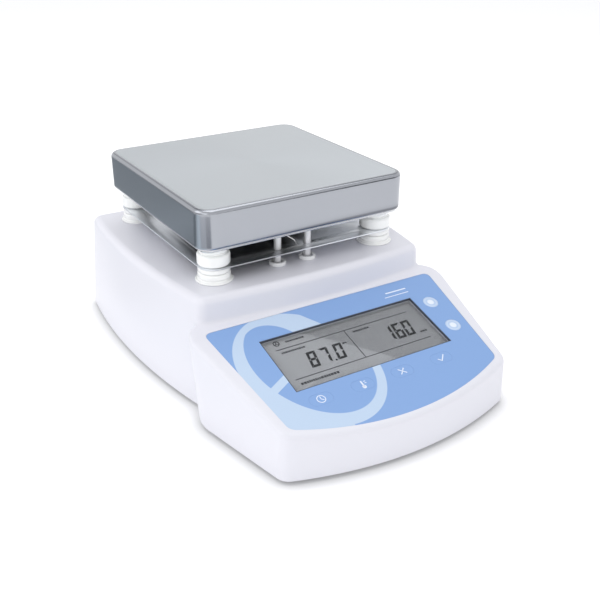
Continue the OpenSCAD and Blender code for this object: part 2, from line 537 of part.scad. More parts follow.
// ---------- power electronics ----------
z_pcb = z_base + 9;
module power_board() color("seagreen") difference() {
  union() {
    translate([-83, -2, z_pcb]) cube([47, 126, 1.6]);
    translate([-61, 2, z_pcb + 1.6]) cube([18, 6, 1]);
    translate([-66, 8, z_pcb + 1.6]) cube([16, 12, 7.4]);
    translate([-82, 52, z_pcb + 1.6]) cube([16, 20, 14]);
    for (p = [[-76, 24], [-76, 40]]) translate([p[0], p[1], z_pcb + 1.6]) cylinder(h = 18, r = 6);
  }
  for (x = [-79, -40]) for (y = [4, 118]) translate([x, y, z_pcb - 1]) cylinder(h = 4, r = 1.6);
}
module transformer() color("tan") difference() {
  union() {
    translate([43, 72, z_base + 5]) cube([40, 36, 3]);
    translate([45, 80, z_base + 8]) cube([36, 20, 34]);
    translate([50, 76, z_base + 11]) cube([26, 28, 26]);
  }
  for (x = [46, 80]) for (y = [76, 104]) translate([x, y, z_base]) cylinder(h = 12, r = 1.7);
}
module heatsink() color("silver") union() {
  translate([-64, 84, z_pcb + 1.6]) cube([22, 3, 24]);
  for (k = [0:5]) translate([-64 + k * 4.1, 87, z_pcb + 1.6]) cube([1.5, 10, 24]);
  translate([-58, 79.5, z_pcb + 6]) cube([10, 4.5, 15]);
}
module terminal_block() color("green") difference() {
  translate([-62, 32, z_pcb + 1.6]) cube([16, 16, 14]);
  for (k = [0:1]) translate([-57 + 6 * k, 40, z_pcb + 8]) cylinder(h = 12, r = 2);
}
module mains_leads() color("royalblue") {
  wire([[inlet_x - 5, ledge_y - 26, inlet_z + 4], [inlet_x - 5, ledge_y - 32, inlet_z + 4], [switch_x - 5, ledge_y - 28, switch_z + 1], [switch_x - 5, ledge_y - 19.6, switch_z + 1]], 1.1);
  wire([[switch_x + 4, ledge_y - 19.6, switch_z], [switch_x + 4, ledge_y - 30, switch_z], [63, 111, 30], [63, 107, 26], [63, 104, 26]], 1.1);
  wire([[inlet_x + 5, ledge_y - 26, inlet_z - 8], [inlet_x + 5, ledge_y - 34, inlet_z - 8], [-40, 62, 26], [-51, 55, 20], [-51, 48.05, 20]], 1.1);
}

// ---------- rear connectors ----------
module inlet_at() translate([inlet_x, ledge_y + 2, inlet_z]) rotate([90, 0, 0]) mirror([0, 0, 1]) children();
// socket outline of the appliance inlet: a rectangle with two corners taken off
function iec_plan(w, h, c) = [[-w / 2, -h / 2], [w / 2, -h / 2], [w / 2, h / 2 - c], [w / 2 - c, h / 2], [-w / 2 + c, h / 2], [-w / 2, h / 2 - c]];
module iec_inlet() color("black") inlet_at() difference() {
  union() {
    linear_extrude(2.6) union() {
      square([34, 37], center = true);
      square([48, 16], center = true);
    }
    translate([-14, -16.5, -28]) cube([28, 33, 28.5]);
  }
  translate([0, 5.2, -17]) linear_extrude(30) polygon(iec_plan(24.6, 16.8, 4.4));
  translate([-12.6, -15, -20]) cube([25.2, 10, 30]);
  for (s = [-20, 20]) translate([s, 0, -1]) cylinder(h = 6, r = 1.6);
  for (x = [-7, 0, 7]) translate([x - 1.05, (x == 0 ? 8 : 4) - 2.05, -19]) cube([2.1, 4.1, 3]);
}
module inlet_pins() color("silver") inlet_at() for (x = [-7, 0, 7]) translate([x, x == 0 ? 8 : 4, 0]) union() {
  translate([-1, -2, -19]) cube([2, 4, 15]);
}
module inlet_screws() color("silver") inlet_at() for (s = [-20, 20]) translate([s, 0, 2.6]) small_screw(2.6, 1.4, 7, 1.4);
module fuse_drawer() color("dimgray") inlet_at() difference() {
  union() {
    translate([-12.5, -14.9, 0.4]) cube([25, 9.8, 2.4]);
    translate([-12.2, -14.4, -18]) cube([24.4, 8.8, 18.5]);
  }
  translate([-10.4, -12.6, -15]) cube([20.8, 12, 12]);
  translate([-4, -15.5, 1.8]) cube([8, 2.2, 2]);
}
module switch_at() translate([switch_x, ledge_y + 2, switch_z]) rotate([90, 0, 0]) mirror([0, 0, 1]) children();
module switch_body() color("black") switch_at() difference() {
  union() {
    translate([-11, -8, 0]) cube([22, 16, 1.8]);
    translate([-9.5, -6.5, -16]) cube([19, 13, 16]);
    for (x = [-5, 4]) translate([x - 0.4, -2.4, -21.6]) cube([0.8, 4.8, 6]);
  }
  translate([-8, -5.3, -7]) cube([16, 10.6, 12]);
  translate([0, 0, -1]) rotate([90, 0, 0]) cylinder(h = 12.2, r = 1.25, center = true);
}
// the rocker turns on trunnions that run across its short side
module power_rocker() color("firebrick") switch_at() translate([0, 0, -1]) rotate([0, rocker_tilt, 0]) union() {
  rotate([90, 0, 0]) linear_extrude(10.2, center = true) polygon([[-7.3, -2.4], [7.3, -2.4], [7.6, 2.9], [4, 2.2], [0, 1.9], [-4, 2.2], [-7.6, 2.9]]);
  rotate([90, 0, 0]) cylinder(h = 11.8, r = 1.2, center = true);
}
module probe_socket() color("silver") translate([probe_x, ledge_y + 2, probe_z]) rotate([-90, 0, 0]) difference() {
  union() {
    cylinder(h = 2.2, r = 9);
    translate([0, 0, 2.2]) cylinder(h = 0.8, r = 7.2);
    translate([0, 0, -16]) cylinder(h = 16.5, r = 7.5);
  }
  translate([0, 0, -9]) cylinder(h = 20, r = 5.6);
  for (a = [90:72:378]) translate([3.4 * cos(a), 3.4 * sin(a), -11]) cylinder(h = 4, r = 0.7);
}
module rod_insert() color("goldenrod") translate([rod_x, ledge_y + 4.5, rod_z]) rotate([90, 0, 0]) difference() {
  union() {
    cylinder(h = 14.5, r = 6.5);
  }
  translate([0, 0, -1]) cylinder(h = 13, r = 3.4);
}

upper_housing();
bottom_cover();
rubber_feet();
cover_screws();
rear_panel();
rear_panel_screws();
panel_overlay();
lcd_lens();
lcd_glass();
lcd_frame();
display_board();
tact_switches();
board_screws();
key_up();
key_down();
key_time();
key_temp();
key_exit();
key_enter();
ribbon_cable();
plate_pan();
heater_plate();
heating_element();
insulation_pad();
pressure_plate();
plate_bottom_cover();
temp_sensor();
post_studs();
post_nuts();
upper_beads();
middle_rings();
lower_beads();
heat_shield();
conduit_tubes();
conduit_collars();
heater_leads();
earth_wire();
motor_bracket();
bracket_screws();
motor_body();
motor_screws();
shaft_bearings();
motor_shaft();
magnet_holder();
drive_magnets();
set_screw();
motor_lead();
power_board();
transformer();
heatsink();
terminal_block();
mains_leads();
iec_inlet();
inlet_pins();
inlet_screws();
fuse_drawer();
switch_body();
power_rocker();
probe_socket();
rod_insert();
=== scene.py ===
import json
import math

import bmesh
import bpy
import numpy as np
from mathutils import Matrix, Vector

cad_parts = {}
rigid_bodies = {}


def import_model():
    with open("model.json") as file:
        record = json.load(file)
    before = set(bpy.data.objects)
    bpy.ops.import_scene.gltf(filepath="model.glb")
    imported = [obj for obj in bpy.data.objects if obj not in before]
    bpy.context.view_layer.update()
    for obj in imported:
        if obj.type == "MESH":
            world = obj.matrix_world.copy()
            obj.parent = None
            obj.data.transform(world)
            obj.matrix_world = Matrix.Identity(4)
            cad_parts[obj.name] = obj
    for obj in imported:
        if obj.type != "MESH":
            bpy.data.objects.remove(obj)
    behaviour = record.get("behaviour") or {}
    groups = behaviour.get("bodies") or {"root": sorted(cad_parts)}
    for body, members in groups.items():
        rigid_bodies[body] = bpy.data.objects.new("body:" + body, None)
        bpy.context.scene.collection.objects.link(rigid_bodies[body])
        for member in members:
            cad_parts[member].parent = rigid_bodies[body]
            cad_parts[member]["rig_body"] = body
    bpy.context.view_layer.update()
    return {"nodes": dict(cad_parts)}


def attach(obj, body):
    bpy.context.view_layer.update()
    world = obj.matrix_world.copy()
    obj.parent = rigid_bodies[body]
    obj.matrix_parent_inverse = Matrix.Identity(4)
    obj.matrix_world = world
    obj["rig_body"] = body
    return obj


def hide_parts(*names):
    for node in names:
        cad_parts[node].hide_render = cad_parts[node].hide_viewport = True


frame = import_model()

NODES = frame["nodes"]
MM = 0.001
TILT = math.radians(15.9)
ST, CT = math.sin(TILT), math.cos(TILT)
PY = 48.0  # plate axis
scene = bpy.context.scene


# --------------------------------------------------------------------------
# small node-graph language
# --------------------------------------------------------------------------
class S:
    """A socket, or a number, that can be used in sums."""

    nt = None

    def __init__(self, v):
        self.v = v

    @staticmethod
    def op(kind, *args, clamp=False):
        n = S.nt.nodes.new("ShaderNodeMath")
        n.operation = kind
        n.use_clamp = clamp
        for i, a in enumerate(args):
            a = a.v if isinstance(a, S) else a
            if isinstance(a, (int, float)):
                n.inputs[i].default_value = a
            else:
                S.nt.links.new(a, n.inputs[i])
        return S(n.outputs[0])

    def __add__(self, o):
        return S.op("ADD", self, o)

    __radd__ = __add__

    def __sub__(self, o):
        return S.op("SUBTRACT", self, o)

    def __rsub__(self, o):
        return S.op("SUBTRACT", o, self)

    def __mul__(self, o):
        return S.op("MULTIPLY", self, o)

    __rmul__ = __mul__

    def __truediv__(self, o):
        return S.op("DIVIDE", self, o)

    def sqrt(self):
        return S.op("SQRT", self)

    def abs(self):
        return S.op("ABSOLUTE", self)

    def clamp(self):
        return S.op("ADD", self, 0.0, clamp=True)

    def step(self, edge, soft):
        """0 below edge, 1 above, over a width of soft."""
        return S.op("ADD", (self - edge) / soft, 0.5, clamp=True)


def srgb(*c):
    out = []
    for v in c:
        v = v / 255
        out.append(v / 12.92 if v <= 0.04045 else ((v + 0.055) / 1.055) ** 2.4)
    return tuple(out)


def start(name):
    m = bpy.data.materials.new(name)
    m.use_nodes = True
    nt = m.node_tree
    nt.nodes.clear()
    out = nt.nodes.new("ShaderNodeOutputMaterial")
    b = nt.nodes.new("ShaderNodeBsdfPrincipled")
    nt.links.new(b.outputs[0], out.inputs[0])
    S.nt = nt
    tc = nt.nodes.new("ShaderNodeTexCoord")
    return m, nt, b, out, tc


def noise(nt, vec, scale, detail=2.0, rough=0.5, stretch=None):
    if stretch:
        mp = nt.nodes.new("ShaderNodeMapping")
        mp.inputs["Scale"].default_value = stretch
        nt.links.new(vec, mp.inputs["Vector"])
        vec = mp.outputs[0]
    n = nt.nodes.new("ShaderNodeTexNoise")
    n.inputs["Scale"].default_value = scale
    n.inputs["Detail"].default_value = detail
    n.inputs["Roughness"].default_value = rough
    nt.links.new(vec, n.inputs["Vector"])
    return n.outputs[0]


def mixc(nt, fac, a, b, blend="MIX"):
    n = nt.nodes.new("ShaderNodeMix")
    n.data_type = "RGBA"
    n.blend_type = blend
    n.clamp_factor = True
    for sock, v in ((n.inputs[0], fac), (n.inputs[6], a), (n.inputs[7], b)):
        v = v.v if isinstance(v, S) else v
        if isinstance(v, (int, float)):
            sock.default_value = v
        elif isinstance(v, tuple):
            sock.default_value = (*v[:3], 1.0)
        else:
            nt.links.new(v, sock)
    return n.outputs[2]


def ranged(nt, v, lo, hi):
    n = nt.nodes.new("ShaderNodeMapRange")
    n.inputs["From Min"].default_value = 0.25
    n.inputs["From Max"].default_value = 0.75
    n.inputs["To Min"].default_value = lo
    n.inputs["To Max"].default_value = hi
    nt.links.new(v.v if isinstance(v, S) else v, n.inputs["Value"])
    return n.outputs[0]


def bump(nt, b, height, dist, strength=1.0, after=None):
    n = nt.nodes.new("ShaderNodeBump")
    n.inputs["Distance"].default_value = dist
    n.inputs["Strength"].default_value = strength
    nt.links.new(height, n.inputs["Height"])
    if after is not None:
        nt.links.new(after, n.inputs["Normal"])
    nt.links.new(n.outputs[0], b.inputs["Normal"])
    return n.outputs[0]


def surface(name, color, rough=0.4, metal=0.0, vary=0.03, dr=0.05, cloud=60.0, grain=1800.0,
            depth=0.00001, strength=0.35, stretch=None, coat=0.0, coat_rough=0.1, spec=0.5, sub=0.0):
    """Cloudy colour and roughness over a fine grain: the base of most finishes here."""
    m, nt, b, out, tc = start(name)
    obj = tc.outputs["Object"]
    big = noise(nt, obj, cloud, 3.0, 0.55, stretch)
    lo = tuple(max(0.0, c * (1 - vary)) for c in color)
    hi = tuple(min(1.0, c * (1 + vary)) for c in color)
    nt.links.new(mixc(nt, S(big), lo, hi), b.inputs["Base Color"])
    fine = noise(nt, obj, grain, 2.0, 0.6, stretch)
    nt.links.new(ranged(nt, big, max(0.02, rough - dr), min(1.0, rough + dr)), b.inputs["Roughness"])
    b.inputs["Metallic"].default_value = metal
    b.inputs["Specular IOR Level"].default_value = spec
    b.inputs["Coat Weight"].default_value = coat
    b.inputs["Coat Roughness"].default_value = coat_rough
    if sub:
        b.inputs["Subsurface Weight"].default_value = sub
        b.inputs["Subsurface Radius"].default_value = (0.004, 0.004, 0.004)
        b.inputs["Subsurface Scale"].default_value = 1.0
    bump(nt, b, fine, depth, strength)
    return m


def panel_xs(tc, nt):
    """Panel coordinates in mm from object coordinates: x across, s down the slope."""
    sep = nt.nodes.new("ShaderNodeSeparateXYZ")
    nt.links.new(tc.outputs["Object"], sep.inputs[0])
    x = S(sep.outputs[0]) * 1000.0
    y = S(sep.outputs[1]) * 1000.0
    z = S(sep.outputs[2]) * 1000.0
    s = ((y + 44.8) * CT + (z - 56.4) * ST) * -1.0
    return x, s


def ellipse(x, s, cx, cs, a, b, turn):
    c, n = math.cos(turn), math.sin(turn)
    dx, ds = x - cx, s - cs
    u = (dx * c + ds * n) / a
    v = (ds * c - dx * n) / b
    return ((u * u + v * v).sqrt() - 1.0) * min(a, b)


BLUE = tuple(0.875 * c for c in srgb(139, 175, 228))
PALE = tuple(0.90 * c for c in srgb(197, 217, 241))


def art_colour(nt, tc):
    """The film's print: mid blue with a pale crescent round the left of the display."""
    x, s = panel_xs(tc, nt)
    outer = ellipse(x, s, -39.6, 47.2, 41.1, 49.5, -0.291)
    inner = ellipse(x, s, -37.7, 44.4, 33.3, 44.2, -0.306)
    dx, ds = ((x + 39.6) / 41.1).abs(), ((s - 47.2) / 49.5).abs()
    square = S.op("POWER", S.op("POWER", dx, 5.0) + S.op("POWER", ds, 5.0), 0.2) * 41.0
    corner = (1.0 - square.step(41.0, 0.35)) * (1.0 - x.step(-39.6, 0.2)) * s.step(47.2, 0.2)
    cap = ellipse(x, s, -51.5, 34.9, 22.0, 29.3, 0.0)
    low = s.step(30.0, 0.5)
    cut = (x + 21.3) * 0.82 - (s - 5.8) * 0.572
    trim = S.op("MAXIMUM", low, 1.0 - cut.step(0.0, 0.35))
    clear = S.op("MAXIMUM", inner.step(0.0, 0.35), cap.step(0.0, 0.35) * (1.0 - low))
    ring = S.op("MAXIMUM", (1.0 - outer.step(0.0, 0.35)) * trim, corner) * clear
    arm = 1.0 - ((x + 62.0) * 0.463 + (s - 53.0) * 0.887).abs().step(2.6, 0.35)
    ring = S.op("MAXIMUM", ring, arm * (1.0 - outer.step(0.0, 0.35)) * (1.0 - x.step(-50.0, 0.3)))
    fade = S(noise(nt, tc.outputs["Object"], 22.0, 2.0, 0.5))
    base = mixc(nt, fade, tuple(c * 0.985 for c in BLUE), tuple(c * 1.015 for c in BLUE))
    pale = mixc(nt, fade, tuple(c * 0.985 for c in PALE), tuple(min(1, c * 1.01) for c in PALE))
    return mixc(nt, ring, base, pale), x, s


def film(name, round_at=None):
    m, nt, b, out, tc = start(name)
    col, x, s = art_colour(nt, tc)
    if round_at:
        dx, ds = x - round_at[0], s - round_at[1]
        r = (dx * dx + ds * ds).sqrt()
        rim = 1.0 - (r - 4.0).abs().step(0.5, 0.5)
        core = 1.0 - r.step(2.3, 0.9)
        col = mixc(nt, 0.66, col, tuple(0.92 * c for c in srgb(206, 224, 246)))
        col = mixc(nt, rim * 0.35, col, tuple(0.92 * c for c in srgb(232, 240, 252)))
        col = mixc(nt, core * 0.75, col, tuple(0.94 * c for c in srgb(246, 250, 255)))
    nt.links.new(col, b.inputs["Base Color"])
    obj = tc.outputs["Object"]
    nt.links.new(ranged(nt, noise(nt, obj, 90.0, 3.0), 0.34, 0.44), b.inputs["Roughness"])
    b.inputs["Specular IOR Level"].default_value = 0.35
    bump(nt, b, noise(nt, obj, 3200.0, 1.0, 0.5), 0.000006, 0.25)
    return m


M = {}
WHITE = (0.738, 0.738, 0.795)
M["housing"] = surface("white_housing", WHITE, 0.36, vary=0.006, dr=0.04, cloud=25, grain=2600, depth=0.000008, strength=0.25, spec=0.45)
M["base"] = surface("base_sheet", srgb(196, 198, 202), 0.45, vary=0.03, cloud=40, grain=2400, depth=0.00001, strength=0.4)
M["rubber"] = surface("foot_rubber", srgb(52, 52, 55), 0.75, vary=0.08, dr=0.08, cloud=120, grain=1500, depth=0.00004, strength=0.7, spec=0.3)
M["screw"] = surface("screw_steel", (0.56, 0.56, 0.58), 0.3, 1.0, vary=0.06, dr=0.08, cloud=300, grain=3000, depth=0.000006, strength=0.5)
M["rear"] = surface("rear_sheet", srgb(203, 205, 210), 0.42, vary=0.02, dr=0.06, cloud=70, grain=2200, depth=0.000012, strength=0.4)
M["overlay"] = film("overlay_film")
M["key_up"] = film("round_key_film_up", (68.3, 26.5))
M["key_down"] = film("round_key_film_down", (68.3, 50.6))
M["key"] = film("label_key_film")
M["print"] = surface("white_print", srgb(226, 234, 248), 0.42, vary=0.01, cloud=200, grain=3000, depth=0.000004, strength=0.3)
M["ink"] = surface("segment_ink", srgb(17, 18, 21), 0.5, vary=0.08, cloud=400, grain=3000, depth=0.000003, strength=0.2, spec=0.2)
M["thin_ink"] = surface("segment_ink_fine", srgb(48, 49, 53), 0.5, vary=0.08, cloud=400, grain=3000, depth=0.000003, strength=0.2, spec=0.2)
M["bezel"] = surface("lcd_bezel", srgb(58, 64, 76), 0.5, vary=0.06, cloud=90, grain=2200, depth=0.00001, strength=0.4)
M["black"] = surface("connector_black", srgb(34, 34, 37), 0.48, vary=0.08, dr=0.06, cloud=90, grain=1800, depth=0.00002, strength=0.5)
M["drawer"] = surface("drawer_grey", srgb(56, 57, 60), 0.5, vary=0.06, dr=0.06, cloud=90, grain=1800, depth=0.00002, strength=0.5)
M["switch"] = surface("switch_black", srgb(28, 28, 31), 0.4, vary=0.06, cloud=120, grain=1800, depth=0.00002, strength=0.4)
M["rocker"] = surface("rocker_red", srgb(176, 26, 24), 0.22, vary=0.05, cloud=150, grain=2400, depth=0.000006, strength=0.3, coat=0.4, sub=0.05)
M["socket"] = surface("socket_metal", (0.68, 0.68, 0.70), 0.2, 1.0, vary=0.04, cloud=200, grain=3000, depth=0.000004, strength=0.4)
M["brass"] = surface("insert_brass", (0.72, 0.53, 0.24), 0.28, 1.0, vary=0.06, cloud=180, grain=2600, depth=0.000006, strength=0.5, stretch=(1, 12, 1))
M["plain"] = surface("plain_steel", (0.50, 0.51, 0.53), 0.34, 1.0, vary=0.06, dr=0.08, cloud=90, grain=2600, depth=0.000006, strength=0.5)
M["cover"] = surface("cover_steel", (0.62, 0.63, 0.65), 0.24, 1.0, vary=0.04, dr=0.05, cloud=50, grain=2600, depth=0.000005, strength=0.4)
M["tube"] = surface("conduit_metal", (0.80, 0.80, 0.82), 0.38, 0.55, vary=0.04, dr=0.05, cloud=200, grain=2600, depth=0.000006, strength=0.4, stretch=(1, 1, 0.08))
M["bead"] = surface("bead_ceramic", srgb(248, 249, 248), 0.2, vary=0.012, dr=0.05, cloud=70, grain=900, depth=0.00001, strength=0.3, coat=0.5, coat_rough=0.06, sub=0.12)
M["collar"] = surface("collar_ceramic", srgb(240, 241, 242), 0.25, vary=0.015, cloud=120, grain=900, depth=0.00001, strength=0.3, coat=0.4, coat_rough=0.08)
M["alu"] = surface("heater_aluminium", (0.66, 0.67, 0.69), 0.42, 1.0, vary=0.05, dr=0.08, cloud=120, grain=1400, depth=0.00002, strength=0.6)
M["mica"] = surface("mica", (0.42, 0.33, 0.19), 0.4, vary=0.25, dr=0.12, cloud=160, grain=900, depth=0.00003, strength=0.6)
M["fibre"] = surface("ceramic_fibre", (0.72, 0.70, 0.65), 0.95, vary=0.08, cloud=260, grain=900, depth=0.0002, strength=0.9, spec=0.1)
M["sleeve"] = surface("sensor_lead", srgb(226, 226, 220), 0.6, vary=0.04, cloud=200, grain=2400, depth=0.00002, strength=0.5)
M["heater_wire"] = surface("heater_wire", srgb(150, 62, 34), 0.55, vary=0.1, cloud=300, grain=2400, depth=0.00003, strength=0.7)
M["copper"] = surface("earth_wire_metal", (0.78, 0.77, 0.76), 0.25, 1.0, vary=0.08, cloud=400, grain=3000, depth=0.00001, strength=0.6)
M["motor"] = surface("motor_case", srgb(38, 39, 43), 0.35, vary=0.08, dr=0.08, cloud=90, grain=1200, depth=0.00002, strength=0.5, coat=0.2)
M["holder"] = surface("holder_aluminium", (0.70, 0.71, 0.73), 0.3, 1.0, vary=0.05, dr=0.06, cloud=120, grain=2400, depth=0.000008, strength=0.6, stretch=(1, 14, 1))
M["magnet"] = surface("magnet_nickel", (0.58, 0.58, 0.60), 0.14, 1.0, vary=0.04, cloud=160, grain=2400, depth=0.000005, strength=0.4)
M["motor_wire"] = surface("motor_wire", srgb(176, 30, 28), 0.45, vary=0.06, cloud=300, grain=2400, depth=0.00002, strength=0.5)
M["mains_wire"] = surface("mains_wire", srgb(58, 84, 168), 0.45, vary=0.08, cloud=300, grain=2400, depth=0.00002, strength=0.5)
M["sink"] = surface("sink_aluminium", (0.05, 0.05, 0.055), 0.4, 0.6, vary=0.1, cloud=90, grain=2400, depth=0.00001, strength=0.5, stretch=(1, 1, 8))
M["terminal"] = surface("terminal_green", srgb(46, 138, 70), 0.42, vary=0.05, cloud=120, grain=1800, depth=0.00002, strength=0.5)
M["lead_grey"] = surface("ribbon_edge", srgb(170, 170, 172), 0.5)


def steel_top():
    """Satin rolled sheet: a fine straight grain with soft handling marks."""
    m, nt, b, out, tc = start("plate_steel_satin")
    obj = tc.outputs["Object"]
    grain = noise(nt, obj, 900.0, 3.0, 0.65, (1.0, 0.035, 1.0))
    cloud = noise(nt, obj, 18.0, 4.0, 0.6)
    col = mixc(nt, S(grain), (0.565, 0.597, 0.625), (0.612, 0.642, 0.668))
    col = mixc(nt, S(cloud) * 0.35, col, (0.602, 0.627, 0.648))
    nt.links.new(col, b.inputs["Base Color"])
    b.inputs["Metallic"].default_value = 1.0
    rough = S(ranged(nt, grain, 0.36, 0.44)) + (S(cloud) - 0.5) * 0.06
    nt.links.new(rough.v, b.inputs["Roughness"])
    b.inputs["Anisotropic"].default_value = 0.35
    bump(nt, b, grain, 0.000006, 0.5)
    return m


def steel_skirt():
    """The drawn and polished skirt: nearly a mirror, with faint vertical draw marks; its colour carries painted
    reflections: painted dark bands low on the skirt and along the roll, painted dark lines along the top edge, and a
    painted highlight along the bottom lip.
    """
    m, nt, b, out, tc = start("plate_steel_polished")
    obj = tc.outputs["Object"]
    draw = noise(nt, obj, 700.0, 3.0, 0.6, (1.0, 1.0, 0.05))
    cloud = noise(nt, obj, 26.0, 3.0, 0.55)
    col = mixc(nt, S(cloud), (0.385, 0.398, 0.432), (0.415, 0.428, 0.462))
    sep = nt.nodes.new("ShaderNodeSeparateXYZ")
    nt.links.new(obj, sep.inputs[0])
    # painted reflection: darker low on the skirt toward the right, standing in for the shaded deck and gap mirrored in
    # it
    low = (1.0 - ((S(sep.outputs[2]) * 1000.0 - 99.5) / 6.5).clamp()) * ((S(sep.outputs[0]) * 1000.0 + 40.0) / 60.0).clamp()
    col = mixc(nt, low * 0.45, col, (0.17, 0.178, 0.20))
    # painted reflection: a dark band along the roll toward the right, standing in for the shaded gap under the plate
    # mirrored in it
    roll_painted_reflection = (1.0 - ((S(sep.outputs[2]) * 1000.0 - 101.9).abs() / 1.5).clamp()) * ((S(sep.outputs[0]) * 1000.0 + 60.0) / 70.0).clamp()
    col = mixc(nt, roll_painted_reflection * 0.75, col, (0.10, 0.105, 0.12))
    # painted reflection: thin dark lines along the top edge's rounding, at the far left and toward the right
    px, pz = S(sep.outputs[0]) * 1000.0, S(sep.outputs[2]) * 1000.0
    edge = S.op("MAXIMUM", 1.0 - ((pz - 123.4).abs() / 0.5).clamp(), 1.0 - ((pz - 125.3).abs() / 0.22).clamp())
    where = S.op("MAXIMUM", ((px * -1.0 - 71.0) / 3.0).clamp(), ((px + 15.0) / 50.0).clamp())
    col = mixc(nt, edge * where * 0.7, col, (0.10, 0.11, 0.125))
    # painted highlight: a pale, less metallic line along the bottom lip, standing in for the bright floor mirrored in
    # it
    lip = 1.0 - ((S(sep.outputs[2]) * 1000.0 - 100.3) / 0.6).clamp()
    col = mixc(nt, lip, col, (0.78, 0.78, 0.79))
    nt.links.new(col, b.inputs["Base Color"])
    nt.links.new((1.0 - lip * 0.65).v, b.inputs["Metallic"])
    rough = S(ranged(nt, draw, 0.19, 0.23)) + (S(cloud) - 0.5) * 0.03
    nt.links.new(rough.v, b.inputs["Roughness"])
    bump(nt, b, draw, 0.000003, 0.35)
    return m


def shield_steel():
    """Thin bright sheet, with a painted dark reflection under the left front of the heater: near-black colour standing
    in for the plate's dark underside mirrored in the sheet.
    """
    m, nt, b, out, tc = start("shield_steel")
    obj = tc.outputs["Object"]
    big = noise(nt, obj, 30.0, 3.0, 0.55)
    col = mixc(nt, S(big), (0.835, 0.855, 0.885), (0.885, 0.905, 0.935))
    sep = nt.nodes.new("ShaderNodeSeparateXYZ")
    nt.links.new(obj, sep.inputs[0])
    x, y = S(sep.outputs[0]) * 1000.0, S(sep.outputs[1]) * 1000.0
    # painted reflection: a near-black patch under the left front of the heater, standing in for the plate's dark
    # underside mirrored in the shield
    across = 1.0 - ((x - y * 0.61 + 2.0) / 20.0).clamp()
    left = ((x + 68.0) / 9.0).clamp()
    deep = ((y + 38.0) / 28.0).clamp() * (1.0 - ((y - 25.0) / 30.0).clamp())
    painted_dark_reflection = across * left * deep * (0.92 + (S(noise(nt, obj, 160.0, 3.0)) - 0.5) * 0.12)
    nt.links.new(mixc(nt, painted_dark_reflection, col, (0.012, 0.012, 0.014)), b.inputs["Base Color"])
    nt.links.new(ranged(nt, big, 0.35, 0.41), b.inputs["Roughness"])
    b.inputs["Metallic"].default_value = 1.0
    bump(nt, b, noise(nt, obj, 1400.0, 2.0, 0.6), 0.000003, 0.25)
    return m


def lcd_cell():
    """The grey field of the display: a faint vertical fall of tone, painted shading lighter at the top and toward the
    right, and the fine dot grid of the cell.
    """
    m, nt, b, out, tc = start("lcd_cell")
    x, s = panel_xs(tc, nt)
    # painted shading: the field is lighter at the top and lighter toward the right
    fall = ((s - 18.0) / 44.0).clamp()
    col = mixc(nt, fall, srgb(187, 188, 190), srgb(180, 181, 184))
    side = ((x + 57.0) / 114.0).clamp()
    col = mixc(nt, side * 0.5, col, srgb(192, 193, 196))
    col = mixc(nt, S(noise(nt, tc.outputs["Object"], 300.0, 2.0)) * 0.10, col, srgb(160, 161, 164))
    nt.links.new(col, b.inputs["Base Color"])
    nt.links.new(ranged(nt, noise(nt, tc.outputs["Object"], 80.0), 0.45, 0.55), b.inputs["Roughness"])
    b.inputs["Specular IOR Level"].default_value = 0.2
    return m


def lens():
    """Clear flat window with a non-glare face: see-through, with only a weak, broad gloss."""
    m, nt, b, out, tc = start("display_window")
    clear = nt.nodes.new("ShaderNodeBsdfTransparent")
    clear.inputs[0].default_value = (0.97, 0.975, 0.98, 1)
    gloss = nt.nodes.new("ShaderNodeBsdfGlossy")
    gloss.inputs["Color"].default_value = (0.9, 0.92, 0.95, 1)
    nt.links.new(ranged(nt, noise(nt, tc.outputs["Object"], 40.0), 0.60, 0.68), gloss.inputs["Roughness"])
    mix = nt.nodes.new("ShaderNodeMixShader")
    nt.links.new(ranged(nt, noise(nt, tc.outputs["Object"], 60.0), 0.025, 0.035), mix.inputs[0])
    nt.links.new(clear.outputs[0], mix.inputs[1])
    nt.links.new(gloss.outputs[0], mix.inputs[2])
    nt.links.new(mix.outputs[0], out.inputs[0])
    nt.nodes.remove(b)
    return m


def circuit():
    """Green solder mask with copper tracks showing as lighter lines."""
    m, nt, b, out, tc = start("circuit_board")
    obj = tc.outputs["Object"]
    mp = nt.nodes.new("ShaderNodeMapping")
    mp.inputs["Scale"].default_value = (1, 1, 0.2)
    nt.links.new(obj, mp.inputs["Vector"])
    v = nt.nodes.new("ShaderNodeTexVoronoi")
    v.distance = "MANHATTAN"
    v.inputs["Scale"].default_value = 160.0
    nt.links.new(mp.outputs[0], v.inputs["Vector"])
    track = S(v.outputs["Distance"]).step(0.42, 0.06)
    cloud = noise(nt, obj, 90.0)
    base = mixc(nt, S(cloud), (0.012, 0.10, 0.045), (0.02, 0.14, 0.06))
    nt.links.new(mixc(nt, track * 0.6, base, (0.05, 0.24, 0.10)), b.inputs["Base Color"])
    nt.links.new(ranged(nt, cloud, 0.25, 0.4), b.inputs["Roughness"])
    bump(nt, b, track.v, 0.00003, 0.5)
    return m


def laminated():
    m, nt, b, out, tc = start("transformer_core")
    w = nt.nodes.new("ShaderNodeTexWave")
    w.bands_direction = "Y"
    w.inputs["Scale"].default_value = 300.0
    nt.links.new(tc.outputs["Object"], w.inputs["Vector"])
    nt.links.new(mixc(nt, S(w.outputs[1]), (0.10, 0.08, 0.06), (0.20, 0.17, 0.13)), b.inputs["Base Color"])
    nt.links.new(ranged(nt, noise(nt, tc.outputs["Object"], 120.0), 0.35, 0.55), b.inputs["Roughness"])
    b.inputs["Metallic"].default_value = 0.5
    bump(nt, b, w.outputs[1], 0.00005, 0.6)
    return m


